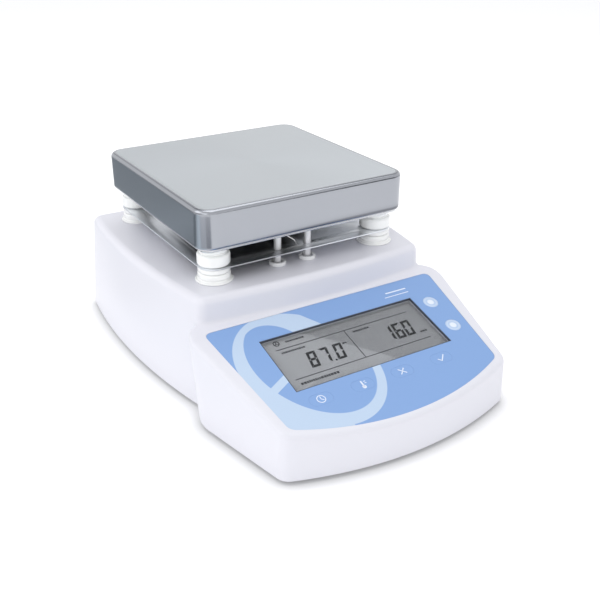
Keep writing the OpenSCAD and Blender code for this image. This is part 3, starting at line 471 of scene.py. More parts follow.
def ribbon():
    m, nt, b, out, tc = start("ribbon_grey")
    w = nt.nodes.new("ShaderNodeTexWave")
    w.bands_direction = "X"
    w.inputs["Scale"].default_value = 250.0
    nt.links.new(tc.outputs["Object"], w.inputs["Vector"])
    nt.links.new(mixc(nt, S(w.outputs[1]), (0.30, 0.30, 0.31), (0.45, 0.45, 0.46)), b.inputs["Base Color"])
    nt.links.new(ranged(nt, noise(nt, tc.outputs["Object"], 120.0), 0.45, 0.6), b.inputs["Roughness"])
    bump(nt, b, w.outputs[1], 0.0002, 0.6)
    return m


M["top"], M["skirt"], M["lcd"], M["lens"], M["shield"] = steel_top(), steel_skirt(), lcd_cell(), lens(), shield_steel()
M["pcb"], M["core"], M["ribbon"] = circuit(), laminated(), ribbon()


# --------------------------------------------------------------------------
# mesh helpers
# --------------------------------------------------------------------------
def link(mesh, name, mats, body="chassis", replaces=()):
    ob = bpy.data.objects.new(name, mesh)
    scene.collection.objects.link(ob)
    for m in mats if isinstance(mats, (list, tuple)) else [mats]:
        ob.data.materials.append(m)
    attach(ob, body)
    if replaces:
        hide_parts(*replaces)
    return ob


def smooth_by_angle(mesh, degrees):
    mesh.polygons.foreach_set("use_smooth", [True] * len(mesh.polygons))
    mesh.set_sharp_from_angle(angle=math.radians(degrees))
    mesh.update()


def mesh_of(verts, faces, name, degrees=32):
    """A mesh from points in mm."""
    me = bpy.data.meshes.new(name)
    me.from_pydata((np.asarray(verts, float) * MM).tolist(), [], [list(map(int, f)) for f in faces])
    me.validate()
    smooth_by_angle(me, degrees)
    return me


def remade(node, mats, bevel=0.25, segs=2, degrees=34, body=None, name=None, edge_angle=35):
    """The CAD node's own shape with small rounded edges, as a clean new piece."""
    bm = bmesh.new()
    bm.from_mesh(NODES[node].data)
    bmesh.ops.remove_doubles(bm, verts=bm.verts, dist=2e-7)
    bmesh.ops.dissolve_limit(bm, angle_limit=math.radians(0.6), verts=bm.verts, edges=bm.edges)
    if bevel:
        edges = [e for e in bm.edges if len(e.link_faces) == 2 and e.calc_face_angle(0) > math.radians(edge_angle)]
        bmesh.ops.bevel(bm, geom=edges, offset=bevel * MM, offset_type="OFFSET", segments=segs, profile=0.5,
                        affect="EDGES", clamp_overlap=True, harden_normals=False)
    bmesh.ops.remove_doubles(bm, verts=bm.verts, dist=2e-7)
    bmesh.ops.recalc_face_normals(bm, faces=bm.faces)
    me = bpy.data.meshes.new(name or node + "_piece")
    bm.to_mesh(me)
    bm.free()
    smooth_by_angle(me, degrees)
    return link(me, name or node + "_piece", mats, body or NODES[node]["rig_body"], (node,))


def lathe_rings(profile, centre, n=96):
    """Points and quads of a closed profile (r, z) in mm turned about a vertical axis."""
    m = len(profile)
    verts, faces = [], []
    for k in range(n):
        a = 2 * math.pi * k / n
        verts += [(centre[0] + r * math.cos(a), centre[1] + r * math.sin(a), z) for r, z in profile]
    for k in range(n):
        k2 = (k + 1) % n
        for i in range(m):
            j = (i + 1) % m
            faces.append((k * m + i, k2 * m + i, k2 * m + j, k * m + j))
    return verts, faces


def joined(parts):
    verts, faces = [], []
    for v, f in parts:
        o = len(verts)
        verts += v
        faces += [tuple(i + o for i in q) for q in f]
    return verts, faces


def prism(loop, z0, z1):
    """Points and faces of a closed straight prism on a loop of (x, y)."""
    n = len(loop)
    area = sum(loop[i][0] * loop[(i + 1) % n][1] - loop[(i + 1) % n][0] * loop[i][1] for i in range(n))
    loop = loop if area > 0 else loop[::-1]
    v = [(x, y, z0) for x, y in loop] + [(x, y, z1) for x, y in loop]
    f = [tuple(range(n))[::-1], tuple(range(n, 2 * n))]
    f += [(i, (i + 1) % n, n + (i + 1) % n, n + i) for i in range(n)]
    return v, f


def circle(cx, cy, r, n=48, a0=0.0):
    return [(cx + r * math.cos(a0 + 2 * math.pi * k / n), cy + r * math.sin(a0 + 2 * math.pi * k / n)) for k in range(n)]


def to_panel(v):
    """Panel coordinates (x, -s, z) in mm to the part's frame."""
    v = np.asarray(v, float)
    out = v.copy()
    out[:, 1] = -44.8 + v[:, 1] * CT - v[:, 2] * ST
    out[:, 2] = 56.4 + v[:, 1] * ST + v[:, 2] * CT
    return out


# --------------------------------------------------------------------------
# housing: an implicit shape, meshed and then cut
# --------------------------------------------------------------------------
def rint(a, b, r):
    return np.minimum(np.maximum(a + r, b + r), 0) + np.hypot(np.maximum(a + r, 0), np.maximum(b + r, 0)) - r


def body_sd(x, y, z):
    ax = np.abs(x)
    dx = (ax - (98.15 - (y - 62.4) ** 2 / 940 - 0.063 * (z - 3))) / np.sqrt(1 + ((y - 62.4) / 470) ** 2)
    dr = (y - (146.2 - 0.157 * (z - 3))) / 1.0123
    df = ((-45.4 + 0.055 * (z - 3) + x * x / 1320) - y) / np.sqrt(1 + (x / 660) ** 2)
    return rint(rint(rint(dx, dr, 5.5), df, 4.5), z - 75.3, 5.0)


def console_sd(x, y, z):
    ax = np.abs(x)
    cx = (ax - (96.4 + 0.194 * (y + 56.5) - 0.045 * (z - 3))) / 1.0187
    cf = ((-146.2 + x * x / 430 + 0.03 * (z - 3)) - y) / np.sqrt(1 + (x / 215) ** 2)
    cr = y + 34.0
    cz = (z - 56.4 - (y + 44.8) * math.tan(TILT)) * CT
    return rint(rint(rint(cx, cf, 4.0), cr, 16.0 + 0.28 * np.clip(59.0 - z, 0, 56)), cz, 2.5)


def housing_sd(x, y, z):
    t = np.clip((np.abs(x) - 80) / 12, 0, 1)
    r = 2.0 + 2.5 * t * t * (3 - 2 * t)
    return -rint(-body_sd(x, y, z), -console_sd(x, y, z), r)


def cavity_sd(x, y, z):
    f = housing_sd(x, y, z) + 3.0
    block = np.maximum(np.maximum(np.abs(x) - 70.0, 128.5 - y), np.maximum(7.0 - z, z - 71.0))
    return np.maximum(f, -block)


def gradient(f, p, e=0.04):
    g = np.empty_like(p)
    for i in range(3):
        d = np.zeros(3)
        d[i] = e
        a, b = p + d, p - d
        g[:, i] = (f(a[:, 0], a[:, 1], a[:, 2]) - f(b[:, 0], b[:, 1], b[:, 2])) / (2 * e)
    return g


def net(f, lo, hi, h, floor=3.0, rounds=4):
    """Surface-net mesh of f = 0, ending in a clean level edge at z = floor."""
    nx = int(math.ceil(hi[0] / h)) + 1
    xs = (np.arange(-nx, nx + 1)) * h
    ys = np.arange(lo[1], hi[1] + h, h)
    zs = floor - h / 2 + np.arange(-1, int((hi[2] - floor) / h) + 3) * h
    v = f(xs[:, None, None], ys[None, :, None], zs[None, None, :]).astype(np.float32)
    ins = v < 0
    cnt = np.zeros(tuple(n - 1 for n in v.shape), np.int8)
    for a in (0, 1):
        for b in (0, 1):
            for c in (0, 1):
                cnt += ins[a:a + cnt.shape[0], b:b + cnt.shape[1], c:c + cnt.shape[2]]
    act = (cnt > 0) & (cnt < 8)
    ijk = np.argwhere(act)
    idx = np.full(act.shape, -1, np.int64)
    idx[act] = np.arange(len(ijk))
    acc = np.zeros((len(ijk), 3))
    num = np.zeros(len(ijk))
    corners = [(a, b, c) for a in (0, 1) for b in (0, 1) for c in (0, 1)]
    for p in corners:
        for ax in range(3):
            if p[ax]:
                continue
            q = list(p)
            q[ax] = 1
            ia = ijk + np.array(p)
            ib = ijk + np.array(q)
            va = v[ia[:, 0], ia[:, 1], ia[:, 2]]
            vb = v[ib[:, 0], ib[:, 1], ib[:, 2]]
            cut = (va < 0) != (vb < 0)
            t = np.where(cut, va / np.where(cut, va - vb, 1), 0)
            pt = np.array(p, float)[None, :] + t[:, None] * (np.array(q) - np.array(p))[None, :]
            acc += np.where(cut[:, None], pt, 0)
            num += cut
    pos = (ijk + acc / num[:, None]) * h + np.array([xs[0], ys[0], zs[0]])
    ring = ijk[:, 2] == 1
    pos[ring, 2] = floor
    for k in range(rounds):
        g = gradient(f, pos)
        g[ring, 2] = 0
        val = f(pos[:, 0], pos[:, 1], pos[:, 2])
        step = (val / np.maximum((g * g).sum(1), 0.2))[:, None] * g
        n = np.linalg.norm(step, axis=1, keepdims=True)
        pos -= step * np.minimum(1, h / np.maximum(n, 1e-9))
    quads = []
    for ax in range(3):
        u, w = (ax + 1) % 3, (ax + 2) % 3
        sl0 = [slice(None)] * 3
        sl1 = [slice(None)] * 3
        sl0[ax], sl1[ax] = slice(0, -1), slice(1, None)
        a, b = ins[tuple(sl0)], ins[tuple(sl1)]
        e = np.argwhere(a != b)
        keep = (e[:, u] > 0) & (e[:, w] > 0)
        for d in (u, w):
            keep &= e[:, d] < v.shape[d] - 1
        e = e[keep]
        out = a[e[:, 0], e[:, 1], e[:, 2]]
        four = []
        for du, dw in ((-1, -1), (0, -1), (0, 0), (-1, 0)):
            c = e.copy()
            c[:, u] += du
            c[:, w] += dw
            four.append(idx[c[:, 0], c[:, 1], c[:, 2]])
        q = np.stack(four, 1)
        q[~out] = q[~out][:, ::-1]
        quads.append(q)
    quads = np.concatenate(quads)
    quads = quads[(quads >= 0).all(1)]
    low = ijk[:, 2] < 1
    quads = quads[~low[quads].any(1)]
    used = np.unique(quads)
    remap = np.full(len(pos), -1, np.int64)
    remap[used] = np.arange(len(used))
    return pos[used], remap[quads]


def build_shell():
    step = 1.3
    po, qo = net(housing_sd, (-104, -152, 0), (104, 152, 80), step)
    pi, qi = net(cavity_sd, (-104, -152, 0), (104, 152, 80), 3.0, rounds=3)
    verts = np.concatenate([po, pi])
    faces = np.concatenate([qo, qi[:, ::-1] + len(po)])
    me = bpy.data.meshes.new("housing_shell")
    me.from_pydata((verts * MM).tolist(), [], faces.tolist())
    bm = bmesh.new()
    bm.from_mesh(me)
    rim = [e for e in bm.edges if len(e.link_faces) == 1]
    bmesh.ops.bridge_loops(bm, edges=rim)
    bmesh.ops.recalc_face_normals(bm, faces=bm.faces)
    left = [e for e in bm.edges if len(e.link_faces) != 2]
    print("housing shell", len(bm.verts), len(bm.faces), "open edges", len(left))
    bm.to_mesh(me)
    bm.free()
    return me


def solid_object(parts, name, panel=False):
    v, f = joined(parts)
    v = to_panel(v) if panel else np.asarray(v, float)
    me = bpy.data.meshes.new(name)
    me.from_pydata((v * MM).tolist(), [], [list(q) for q in f])
    bm = bmesh.new()
    bm.from_mesh(me)
    bmesh.ops.recalc_face_normals(bm, faces=bm.faces)
    bm.to_mesh(me)
    bm.free()
    ob = bpy.data.objects.new(name, me)
    scene.collection.objects.link(ob)
    return ob


def over_outline(g, n=10):
    """Outline of the overlay in (x, -s), drawn in by g."""
    rr, rf, h0, h1 = 5 - g, 3.5 - g, 85.6 - g, 75.3 - g
    R = (75.3 ** 2 + 16 ** 2) / 32 - g

    def fy(x):
        return -101 + (R + g) - math.sqrt(R * R - x * x)

    def bez(a, b, c):
        return [tuple((1 - t) ** 2 * a[i] + 2 * t * (1 - t) * b[i] + t * t * c[i] for i in (0, 1)) for t in [k / n for k in range(n + 1)]]
    half = [(0, -g)] + bez((h0 - rr, -g), (h0, -g), (h0 - 0.12 * rr, -g - rr))
    half += bez((h1 + 0.12 * rf, fy(h1) + rf), (h1, fy(h1)), (h1 - rf, fy(h1 - rf)))
    half += [((h1 - rf) * k / 24, fy((h1 - rf) * k / 24)) for k in range(23, 0, -1)] + [(0, fy(0))]
    return half + [(-x, y) for x, y in half[::-1] if abs(x) > 0.01]


def stadium(cx, cy, l, w, n=16):
    r = w / 2
    pts = [(cx + l / 2 - r + r * math.cos(t), cy + r * math.sin(t)) for t in [(-0.5 + k / n) * math.pi for k in range(n + 1)]]
    return pts + [(cx - l / 2 + r + r * math.cos(t), cy + r * math.sin(t)) for t in [(0.5 + k / n) * math.pi for k in range(n + 1)]]


def boxp(x0, y0, z0, x1, y1, z1):
    return prism([(x0, y0), (x1, y0), (x1, y1), (x0, y1)], z0, z1)


def tube_y(cx, cz, r, y0, y1, n=48):
    """A straight bar along Y."""
    v, f = prism(circle(cx, cz, r, n), y0, y1)
    return [(p[0], p[2], p[1]) for p in v], f


KEY_X, KEY_S, ROUND_X, ROUND_S = (-47, -18, 11, 41), 72.3, 68.3, (26.5, 50.6)
BOSSES = [(s * x, y) for x, y in ((88.2, 112), (89.2, 20), (80.2, -105)) for s in (-1, 1)]


def cut(ob, cutters, op="DIFFERENCE"):
    for c in cutters:
        for solver in ("MANIFOLD", "EXACT"):
            before = len(ob.data.polygons)
            md = ob.modifiers.new("cut", "BOOLEAN")
            try:
                md.solver = solver
            except TypeError:
                ob.modifiers.remove(md)
                continue
            md.operation = op
            md.object = c
            dg = bpy.context.evaluated_depsgraph_get()
            dg.update()
            new = bpy.data.meshes.new_from_object(ob.evaluated_get(dg))
            ob.modifiers.remove(md)
            if len(new.polygons) > before * 0.5 and len(new.polygons) != before:
                ob.data = new
                print(c.name, solver, before, "->", len(new.polygons))
                break
            print(c.name, solver, "changed nothing:", before, len(new.polygons))
        bpy.data.objects.remove(c)


def housing():
    ob = bpy.data.objects.new("housing_shell", build_shell())
    scene.collection.objects.link(ob)
    cut(ob, [solid_object(
        [prism(circle(x, y, 4.5, 32), 5.4, 25.4) for x, y in BOSSES]
        + [prism(circle(x, PY + y, 4.5, 32), 66.3, 73.3) for x in (-42, 42) for y in (-24, 24)]
        + [tube_y(76, 50, 9, 119.5, 135.5, 48)], "bosses")], "UNION")
    posts = [(sx * 61.75, PY + sy * 61.75) for sx in (-1, 1) for sy in (-1, 1)]
    level = [prism(circle(x, y, 2.7, 32), 60, 90) for x, y in posts]
    level += [prism(circle(x, y, 4.0, 32), 60, 90) for x, y in ((-16.5, -15), (5.5, -16))]
    level += [prism(circle(0, PY, 7.0, 48), 60, 90)]
    level += [boxp(-66, 131.5, 12, 66, 170, 66)]
    level += [tube_y(76, 50, 8, 136, 170)]
    level += [prism(circle(x, y, 1.45, 24), -4, 21) for x, y in BOSSES]
    first = solid_object(level, "cut_level")
    recess = solid_object([prism(over_outline(-0.1), -0.7, 9)], "cut_recess", panel=True)
    deep = [boxp(-57.5, -62.3, -9.5, 57.5, -17.7, 6)]
    deep += [prism(circle(ROUND_X, -s, 5.28, 48), -9.5, 6) for s in ROUND_S]
    deep += [prism(stadium(x, -KEY_S, 15.56, 8.56), -9.5, 6) for x in KEY_X]
    second = solid_object(deep, "cut_windows", panel=True)
    back = solid_object([boxp(-60, 124, 17, 60, 150, 61), tube_y(76, 50, 6.5, 121.5, 150)], "cut_back")
    cut(ob, [first, recess, second, back])
    me = ob.data
    # exact normals on the moulded skin, flat ones on the cut faces
    nv, nl = len(me.vertices), len(me.loops)
    co = np.empty(nv * 3, np.float32)
    me.vertices.foreach_get("co", co)
    co = co.reshape(-1, 3).astype(float) / MM
    f = housing_sd(co[:, 0], co[:, 1], co[:, 2])
    g = gradient(housing_sd, co)
    g /= np.maximum(np.linalg.norm(g, axis=1, keepdims=True), 1e-9)
    me.polygons.foreach_set("use_smooth", [True] * len(me.polygons))
    fn = np.empty(len(me.polygons) * 3, np.float32)
    me.polygons.foreach_get("normal", fn)
    fn = fn.reshape(-1, 3)
    tot = np.empty(len(me.polygons), np.int32)
    me.polygons.foreach_get("loop_total", tot)
    lv = np.empty(nl, np.int32)
    me.loops.foreach_get("vertex_index", lv)
    lp = np.repeat(np.arange(len(tot)), tot)
    skin = (np.abs(f[lv]) < 0.05) & ((g[lv] * fn[lp]).sum(1) > 0.9)
    nrm = np.where(skin[:, None], g[lv], fn[lp])
    me.normals_split_custom_set(nrm.tolist())
    me.update()
    print("housing", nv, "points", len(tot), "faces; skin loops", int(skin.sum()), "of", nl)
    ob.data.name = "housing_shell"
    ob.data.materials.clear()
    ob.data.materials.append(M["housing"])
    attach(ob, "chassis")
    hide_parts("upper_housing")
    return ob


housing()


# --------------------------------------------------------------------------
# hotplate
# --------------------------------------------------------------------------
def sq_ring(e, z, corner=28, side=10):
    """Rounded square drawn in by e from the plate's outline, at height z."""
    r = max(11.0 - e, 0.4)
    c = 76.2 - e - r
    pts = []
    for q, (sx, sy) in enumerate(((1, -1), (1, 1), (-1, 1), (-1, -1))):
        a0 = (q - 1) * math.pi / 2
        arc = [(sx * c + r * math.cos(a0 + k / corner * math.pi / 2), sy * c + r * math.sin(a0 + k / corner * math.pi / 2)) for k in range(corner + 1)]
        if pts:
            p, n = pts[-1], arc[0]
            pts += [(p[0] + (n[0] - p[0]) * k / side, p[1] + (n[1] - p[1]) * k / side) for k in range(1, side)]
        pts += arc
    p, n = pts[-1], pts[0]
    pts += [(p[0] + (n[0] - p[0]) * k / side, p[1] + (n[1] - p[1]) * k / side) for k in range(1, side)]
    return [(x, y + PY, z) for x, y in pts]


def pan():
    out = []
    for k in range(11):  # lower lip rolls in
        a = math.pi / 2 * (1 - k / 10)
        out.append((3.0 * (1 - math.cos(a)), 99 + 3.0 * (1 - math.sin(a))))
    out += [(0.0, 103.0), (0.0, 112.0), (0.0, 121.5)]
    for k in range(13):
        a = math.pi / 2 * k / 12
        out.append((2.9 * (1 - math.cos(a)), 122.6 + 2.9 * math.sin(a)))
    edge_ring = len(out)
    out += [(3.4, 125.47), (3.75, 125.42), (4.1, 125.46), (4.5, 125.6), (5.2, 125.6)]
    inn = [(2.95, 99.12), (2.8, 100.0), (1.5, 101.9), (1.2, 103.2), (1.2, 122.2), (1.7, 123.9), (2.9, 124.4)]
    rings = [sq_ring(e, z) for e, z in inn[::-1]] + [sq_ring(e, z) for e, z in out]
    n = len(rings[0])
    verts = [p for r in rings for p in r]
    faces, mat = [], []
    faces.append(list(range(n))[::-1])
    mat.append(0)
    for k in range(len(rings) - 1):
        for i in range(n):
            j = (i + 1) % n
            faces.append((k * n + i, k * n + j, (k + 1) * n + j, (k + 1) * n + i))
            mat.append(0 if k - len(inn) < edge_ring else 1)
    faces.append([(len(rings) - 1) * n + i for i in range(n)])
    mat.append(1)
    me = bpy.data.meshes.new("hotplate_pan")
    me.from_pydata((np.asarray(verts) * MM).tolist(), [], [list(f) for f in faces])
    me.polygons.foreach_set("material_index", mat)
    bm = bmesh.new()
    bm.from_mesh(me)
    bmesh.ops.recalc_face_normals(bm, faces=bm.faces)
    bm.to_mesh(me)
    bm.free()
    smooth_by_angle(me, 50)
    return link(me, "hotplate_pan", [M["skirt"], M["top"]], "chassis", ("plate_pan",))


pan()


def arc(cx, cy, rx, ry, a0, a1, n):
    return [(cx + rx * math.cos(math.radians(a0 + (a1 - a0) * k / n)), cy + ry * math.sin(math.radians(a0 + (a1 - a0) * k / n))) for k in range(n + 1)]


POSTS = [(sx * 61.75, PY + sy * 61.75) for sx in (-1, 1) for sy in (-1, 1)]
B = 10.5
upper = [(2.7, 0.02), (B - 1.7, 0.02)] + arc(B - 1.6, 1.75, 1.6, 1.7, -88, 0, 10) + arc(B - 1.6, 6.3, 1.6, 1.6, 0, 88, 10) \
    + arc(B - 1.55, 8.35, 0.55, 0.42, -95, -180, 4) + arc(B - 2.1, 9.95, 0.95, 1.1, -62, 0, 6) + arc(B - 2.1, 10.7, 0.95, 1.15, 0, 88, 8) + [(B - 2.6, 11.88), (2.7, 11.95)]
middle = [(2.7, 0.05), (B - 1.6, 0.05)] + arc(B - 1.3, 1.25, 1.15, 1.15, -88, 0, 8) + arc(B - 1.3, 2.45, 1.15, 1.2, 0, 88, 8) + [(B - 1.7, 3.72), (2.7, 3.75)]
lower = [(2.7, 0.02), (B + 1.1, 0.02)] + arc(B + 1.1, 0.55, 0.5, 0.5, -80, 70, 8) + arc(B + 0.75, 1.75, 0.5, 0.45, -60, -150, 5)[::1] \
    + arc(B - 1.2, 3.3, 1.2, 1.3, -60, 0, 8) + arc(B - 1.2, 4.6, 1.2, 1.35, 0, 88, 8) + [(B - 1.6, 6.0), (2.7, 6.05)]


def turned(name, profile, z, places, mat, node, n=96):
    v, f = joined([lathe_rings([(r, z + h) for r, h in profile], p, n) for p in places])
    me = mesh_of(v, f, name, 42)
    bm = bmesh.new()
    bm.from_mesh(me)
    bmesh.ops.recalc_face_normals(bm, faces=bm.faces)
    bm.to_mesh(me)
    bm.free()
    smooth_by_angle(me, 42)
    return link(me, name, mat, "chassis", (node,))


turned("bead_upper", upper, 86.0, POSTS, M["bead"], "upper_beads")
turned("bead_middle", middle, 81.4, POSTS, M["bead"], "middle_rings")
turned("bead_lower", lower, 75.3, POSTS, M["bead"], "lower_beads")
TUBES = [(-16.5, -15), (5.5, -16)]
collar = [(3.6, -4.0), (4.0, -4.0), (4.0, 0.0), (5.3, 0.0)] + arc(5.3, 0.4, 0.35, 0.35, -60, 0, 4) + arc(5.1, 2.0, 0.5, 0.5, 0, 90, 7) \
    + arc(4.1, 2.0, 0.5, 0.5, 90, 180, 7)
turned("tube_collars", collar, 75.3, TUBES, M["collar"], "conduit_collars", 64)
tube = [(1.8, 66.35), (2.4, 66.35), (2.4, 97.9), (2.4, 100.4), (1.8, 100.4)]
turned("tubes", tube, 0.0, TUBES, M["tube"], "conduit_tubes", 64)


def soft_wire(name, pts, r, mat, node, n=14, per=10):
    """A round wire through points (mm), on a smooth path."""
    p = np.array(pts, float)
    ext = np.vstack([2 * p[0] - p[1], p, 2 * p[-1] - p[-2]])
    path = []
    for i in range(1, len(ext) - 2):
        a, b, c, d = ext[i - 1:i + 3]
        for k in range(per):
            t = k / per
            path.append(0.5 * ((2 * b) + (c - a) * t + (2 * a - 5 * b + 4 * c - d) * t * t + (3 * b - a - 3 * c + d) * t ** 3))
    path.append(p[-1])
    path = np.array(path)
    tan = np.gradient(path, axis=0)
    tan /= np.linalg.norm(tan, axis=1, keepdims=True)
    u = np.cross(tan, [0.45, 0.55, 0.7])
    u /= np.linalg.norm(u, axis=1, keepdims=True)
    w = np.cross(tan, u)
    verts, faces = [], []
    for k in range(len(path)):
        verts += [tuple(path[k] + r * (math.cos(2 * math.pi * i / n) * u[k] + math.sin(2 * math.pi * i / n) * w[k])) for i in range(n)]
    for k in range(len(path) - 1):
        for i in range(n):
            j = (i + 1) % n
            faces.append((k * n + i, k * n + j, (k + 1) * n + j, (k + 1) * n + i))
    faces += [list(range(n))[::-1], [(len(path) - 1) * n + i for i in range(n)]]
    me = mesh_of(verts, faces, name, 50)
    return link(me, name, mat, "chassis", (node,))


soft_wire("earth_strap", [(-13.2, -15.4, 97.9), (-12, -16.2, 95.7), (-9.0, -17.0, 93.2), (-5.6, -17.6, 90.5), (-3.2, -16.6, 86.1)], 0.45, M["copper"], "earth_wire")
remade("plate_bottom_cover", M["cover"], 0.22)
remade("heat_shield", M["shield"], 0.2)
remade("post_nuts", M["screw"], 0.2)

# --------------------------------------------------------------------------
# control panel
# --------------------------------------------------------------------------
def overlay():
    """The film, close round the window and the keys."""
    ob = solid_object([prism(over_outline(0.0, 14), -0.7, -0.2)], "panel_film", panel=True)
    holes = [boxp(-57.5, -62.3, -3, 57.5, -17.7, 3)]
    holes += [prism(circle(ROUND_X, -s, 5.24, 64), -3, 3) for s in ROUND_S]
    holes += [prism(stadium(x, -KEY_S, 15.48, 8.48, 20), -3, 3) for x in KEY_X]
    cut(ob, [solid_object(holes, "cut_film", panel=True)])
    smooth_by_angle(ob.data, 25)
    ob.data.materials.clear()
    ob.data.materials.append(M["overlay"])
    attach(ob, "chassis")
    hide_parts("panel_overlay")


overlay()
remade("key_up", M["key_up"], 0.12, 2)
remade("key_down", M["key_down"], 0.12, 2)
for k in ("key_time", "key_temp", "key_exit", "key_enter"):
    remade(k, M["key"], 0.05, 1)


def flat_print(name, shapes, z0, z1, mat, body):
    """Raised print: prisms on loops in (x, s)."""
    v, f = joined([prism([(x, -s) for x, s in loop], z0, z1) for loop in shapes])
    me = mesh_of(to_panel(v), f, name, 30)
    return link(me, name, mat, body, ())


def strip(pts, w):
    """A thick line through points, as quads joined end to end with round caps left out."""
    out = []
    for (x0, y0), (x1, y1) in zip(pts, pts[1:]):
        dx, dy = x1 - x0, y1 - y0
        d = math.hypot(dx, dy)
        nx, ny = -dy / d * w / 2, dx / d * w / 2
        ex, ey = dx / d * w / 4, dy / d * w / 4
        out.append([(x0 + nx - ex, y0 + ny - ey), (x1 + nx + ex, y1 + ny + ey), (x1 - nx + ex, y1 - ny + ey), (x0 - nx - ex, y0 - ny - ey)])
    return out


def ring_quads(cx, cy, r0, r1, n=36, a0=0.0, a1=360.0):
    out = []
    for k in range(n):
        a, b = math.radians(a0 + (a1 - a0) * k / n), math.radians(a0 + (a1 - a0) * (k + 1) / n)
        out.append([(cx + r0 * math.cos(a), cy + r0 * math.sin(a)), (cx + r1 * math.cos(a), cy + r1 * math.sin(a)),
                    (cx + r1 * math.cos(b), cy + r1 * math.sin(b)), (cx + r0 * math.cos(b), cy + r0 * math.sin(b))])
    return out


def ring_prism(cx, cy, r0, r1, n=40, a0=0.0, a1=360.0):
    """One closed outline for an open ring, so that it is one solid."""
    full = abs(a1 - a0) >= 359.9
    a1 = a0 + 359.0 if full else a1
    outer = [(cx + r1 * math.cos(math.radians(a0 + (a1 - a0) * k / n)), cy + r1 * math.sin(math.radians(a0 + (a1 - a0) * k / n))) for k in range(n + 1)]
    inner = [(cx + r0 * math.cos(math.radians(a0 + (a1 - a0) * k / n)), cy + r0 * math.sin(math.radians(a0 + (a1 - a0) * k / n))) for k in range(n, -1, -1)]
    return outer + inner


# icons on the four flat keys, in place of words
zk0, zk1 = -0.22, -0.13
clock = [ring_prism(-47, 72.3, 2.35, 2.85)] + strip([(-47, 70.5), (-47, 72.5), (-45.6, 73.3)], 0.5)
thermo = [ring_prism(-18, 74.0, 0.0001, 1.35)] + strip([(-18, 74), (-18, 69.6)], 1.0) + strip([(-16.4, 70.2), (-15.2, 70.2)], 0.45) \
    + strip([(-16.4, 71.5), (-15.2, 71.5)], 0.45)
leave = strip([(9.0, 70.3), (13.0, 74.3)], 0.6) + strip([(13.0, 70.3), (11.1, 72.2)], 0.6) + strip([(10.9, 72.4), (9.0, 74.3)], 0.6)
accept = strip([(38.3, 72.6), (40.2, 74.5), (44.0, 70.3)], 0.65)
for nm, shp, body in (("icon_time", clock, "key_time_cap"), ("icon_temp", thermo, "key_temp_cap"),
                      ("icon_exit", leave, "key_exit_cap"), ("icon_enter", accept, "key_enter_cap")):
    flat_print(nm, shp, zk0, zk1, M["print"], body)
for nm, s0, d, body in (("icon_up", 26.5, -1, "key_up_cap"), ("icon_down", 50.6, 1, "key_down_cap")):
    tri = [(68.3 - 1.5, s0 - d * 0.85), (68.3 + 1.5, s0 - d * 0.85), (68.3, s0 + d * 1.45)]
    flat_print(nm, [tri], zk0, zk1 + 0.02, M["print"], body)
# a small generic mark of two bars above the round keys, in place of the model text
bars = strip([(44, 8.4), (60, 8.4)], 1.0) + strip([(41, 12.0), (60, 12.0)], 0.6)
flat_print("panel_bars", bars, -0.21, -0.14, M["print"], "chassis")


# display: seven-segment figures and ruled lines
def digit(segs, x, s, w, h, t):
    """Segment prisms of one figure; x, s is its upper left corner."""
    g = 0.1
    hh = h / 2
    box = {
        "a": [(x + g, s), (x + w - g, s), (x + w - g - t, s + t), (x + g + t, s + t)],
        "d": [(x + g, s + h), (x + w - g, s + h), (x + w - g - t, s + h - t), (x + g + t, s + h - t)],
        "g": [(x + g + t / 2, s + hh), (x + g + t, s + hh - t / 2), (x + w - g - t, s + hh - t / 2), (x + w - g - t / 2, s + hh),
              (x + w - g - t, s + hh + t / 2), (x + g + t, s + hh + t / 2)],
        "f": [(x, s + g), (x + t, s + g + t), (x + t, s + hh - g - t / 2), (x, s + hh - g)],
        "e": [(x, s + hh + g), (x + t, s + hh + g + t / 2), (x + t, s + h - g - t), (x, s + h - g)],
        "b": [(x + w, s + g), (x + w - t, s + g + t), (x + w - t, s + hh - g - t / 2), (x + w, s + hh - g)],
        "c": [(x + w, s + hh + g), (x + w - t, s + hh + g + t / 2), (x + w - t, s + h - g - t), (x + w, s + h - g)],
    }
    return [box[c] for c in segs]


def lean(loop, s_base, k):
    return [(x + (s_base - s) * k, s) for x, s in loop]


fig = []
fig += [lean(q, 46.8, 0.2) for q in digit("abcdefg", -36.5, 34.2, 6.1, 12.6, 1.7)]
fig += [lean(q, 46.8, 0.2) for q in digit("abc", -27.7, 34.2, 6.0, 12.6, 1.7)]
fig += [[(-19.6, 45.7), (-18.4, 45.7), (-18.4, 46.9), (-19.6, 46.9)]]
fig += [lean(q, 46.8, 0.2) for q in digit("abcdef", -17.6, 34.2, 6.2, 12.6, 1.7)]
fig += [lean(q, 45.8, 0.16) for q in digit("bc", 21.6, 32.6, 5.9, 13.2, 1.75)]
fig += [lean(q, 45.8, 0.16) for q in digit("acdefg", 29.0, 32.6, 6.2, 13.2, 1.75)]
fig += [lean(q, 45.8, 0.16) for q in digit("abcdef", 36.4, 32.6, 6.2, 13.2, 1.75)]
lines = strip([(-49.7, 26.0), (49.0, 26.0)], 0.5) + strip([(-51.0, 51.5), (49.7, 51.5)], 0.5) + strip([(-0.8, 26.4), (-0.8, 51.2)], 0.5)


def words(x0, x1, s, h, seed):
    """A row of small blocks of uneven length, in place of printed words."""
    rng = np.random.default_rng(seed)
    out, x = [], x0
    while x < x1 - 0.6:
        w = float(rng.uniform(0.7, 1.7))
        w = min(w, x1 - x)
        out.append([(x, s - h / 2), (x + w, s - h / 2), (x + w, s + h / 2), (x, s + h / 2)])
        x += w + 0.45
    return out


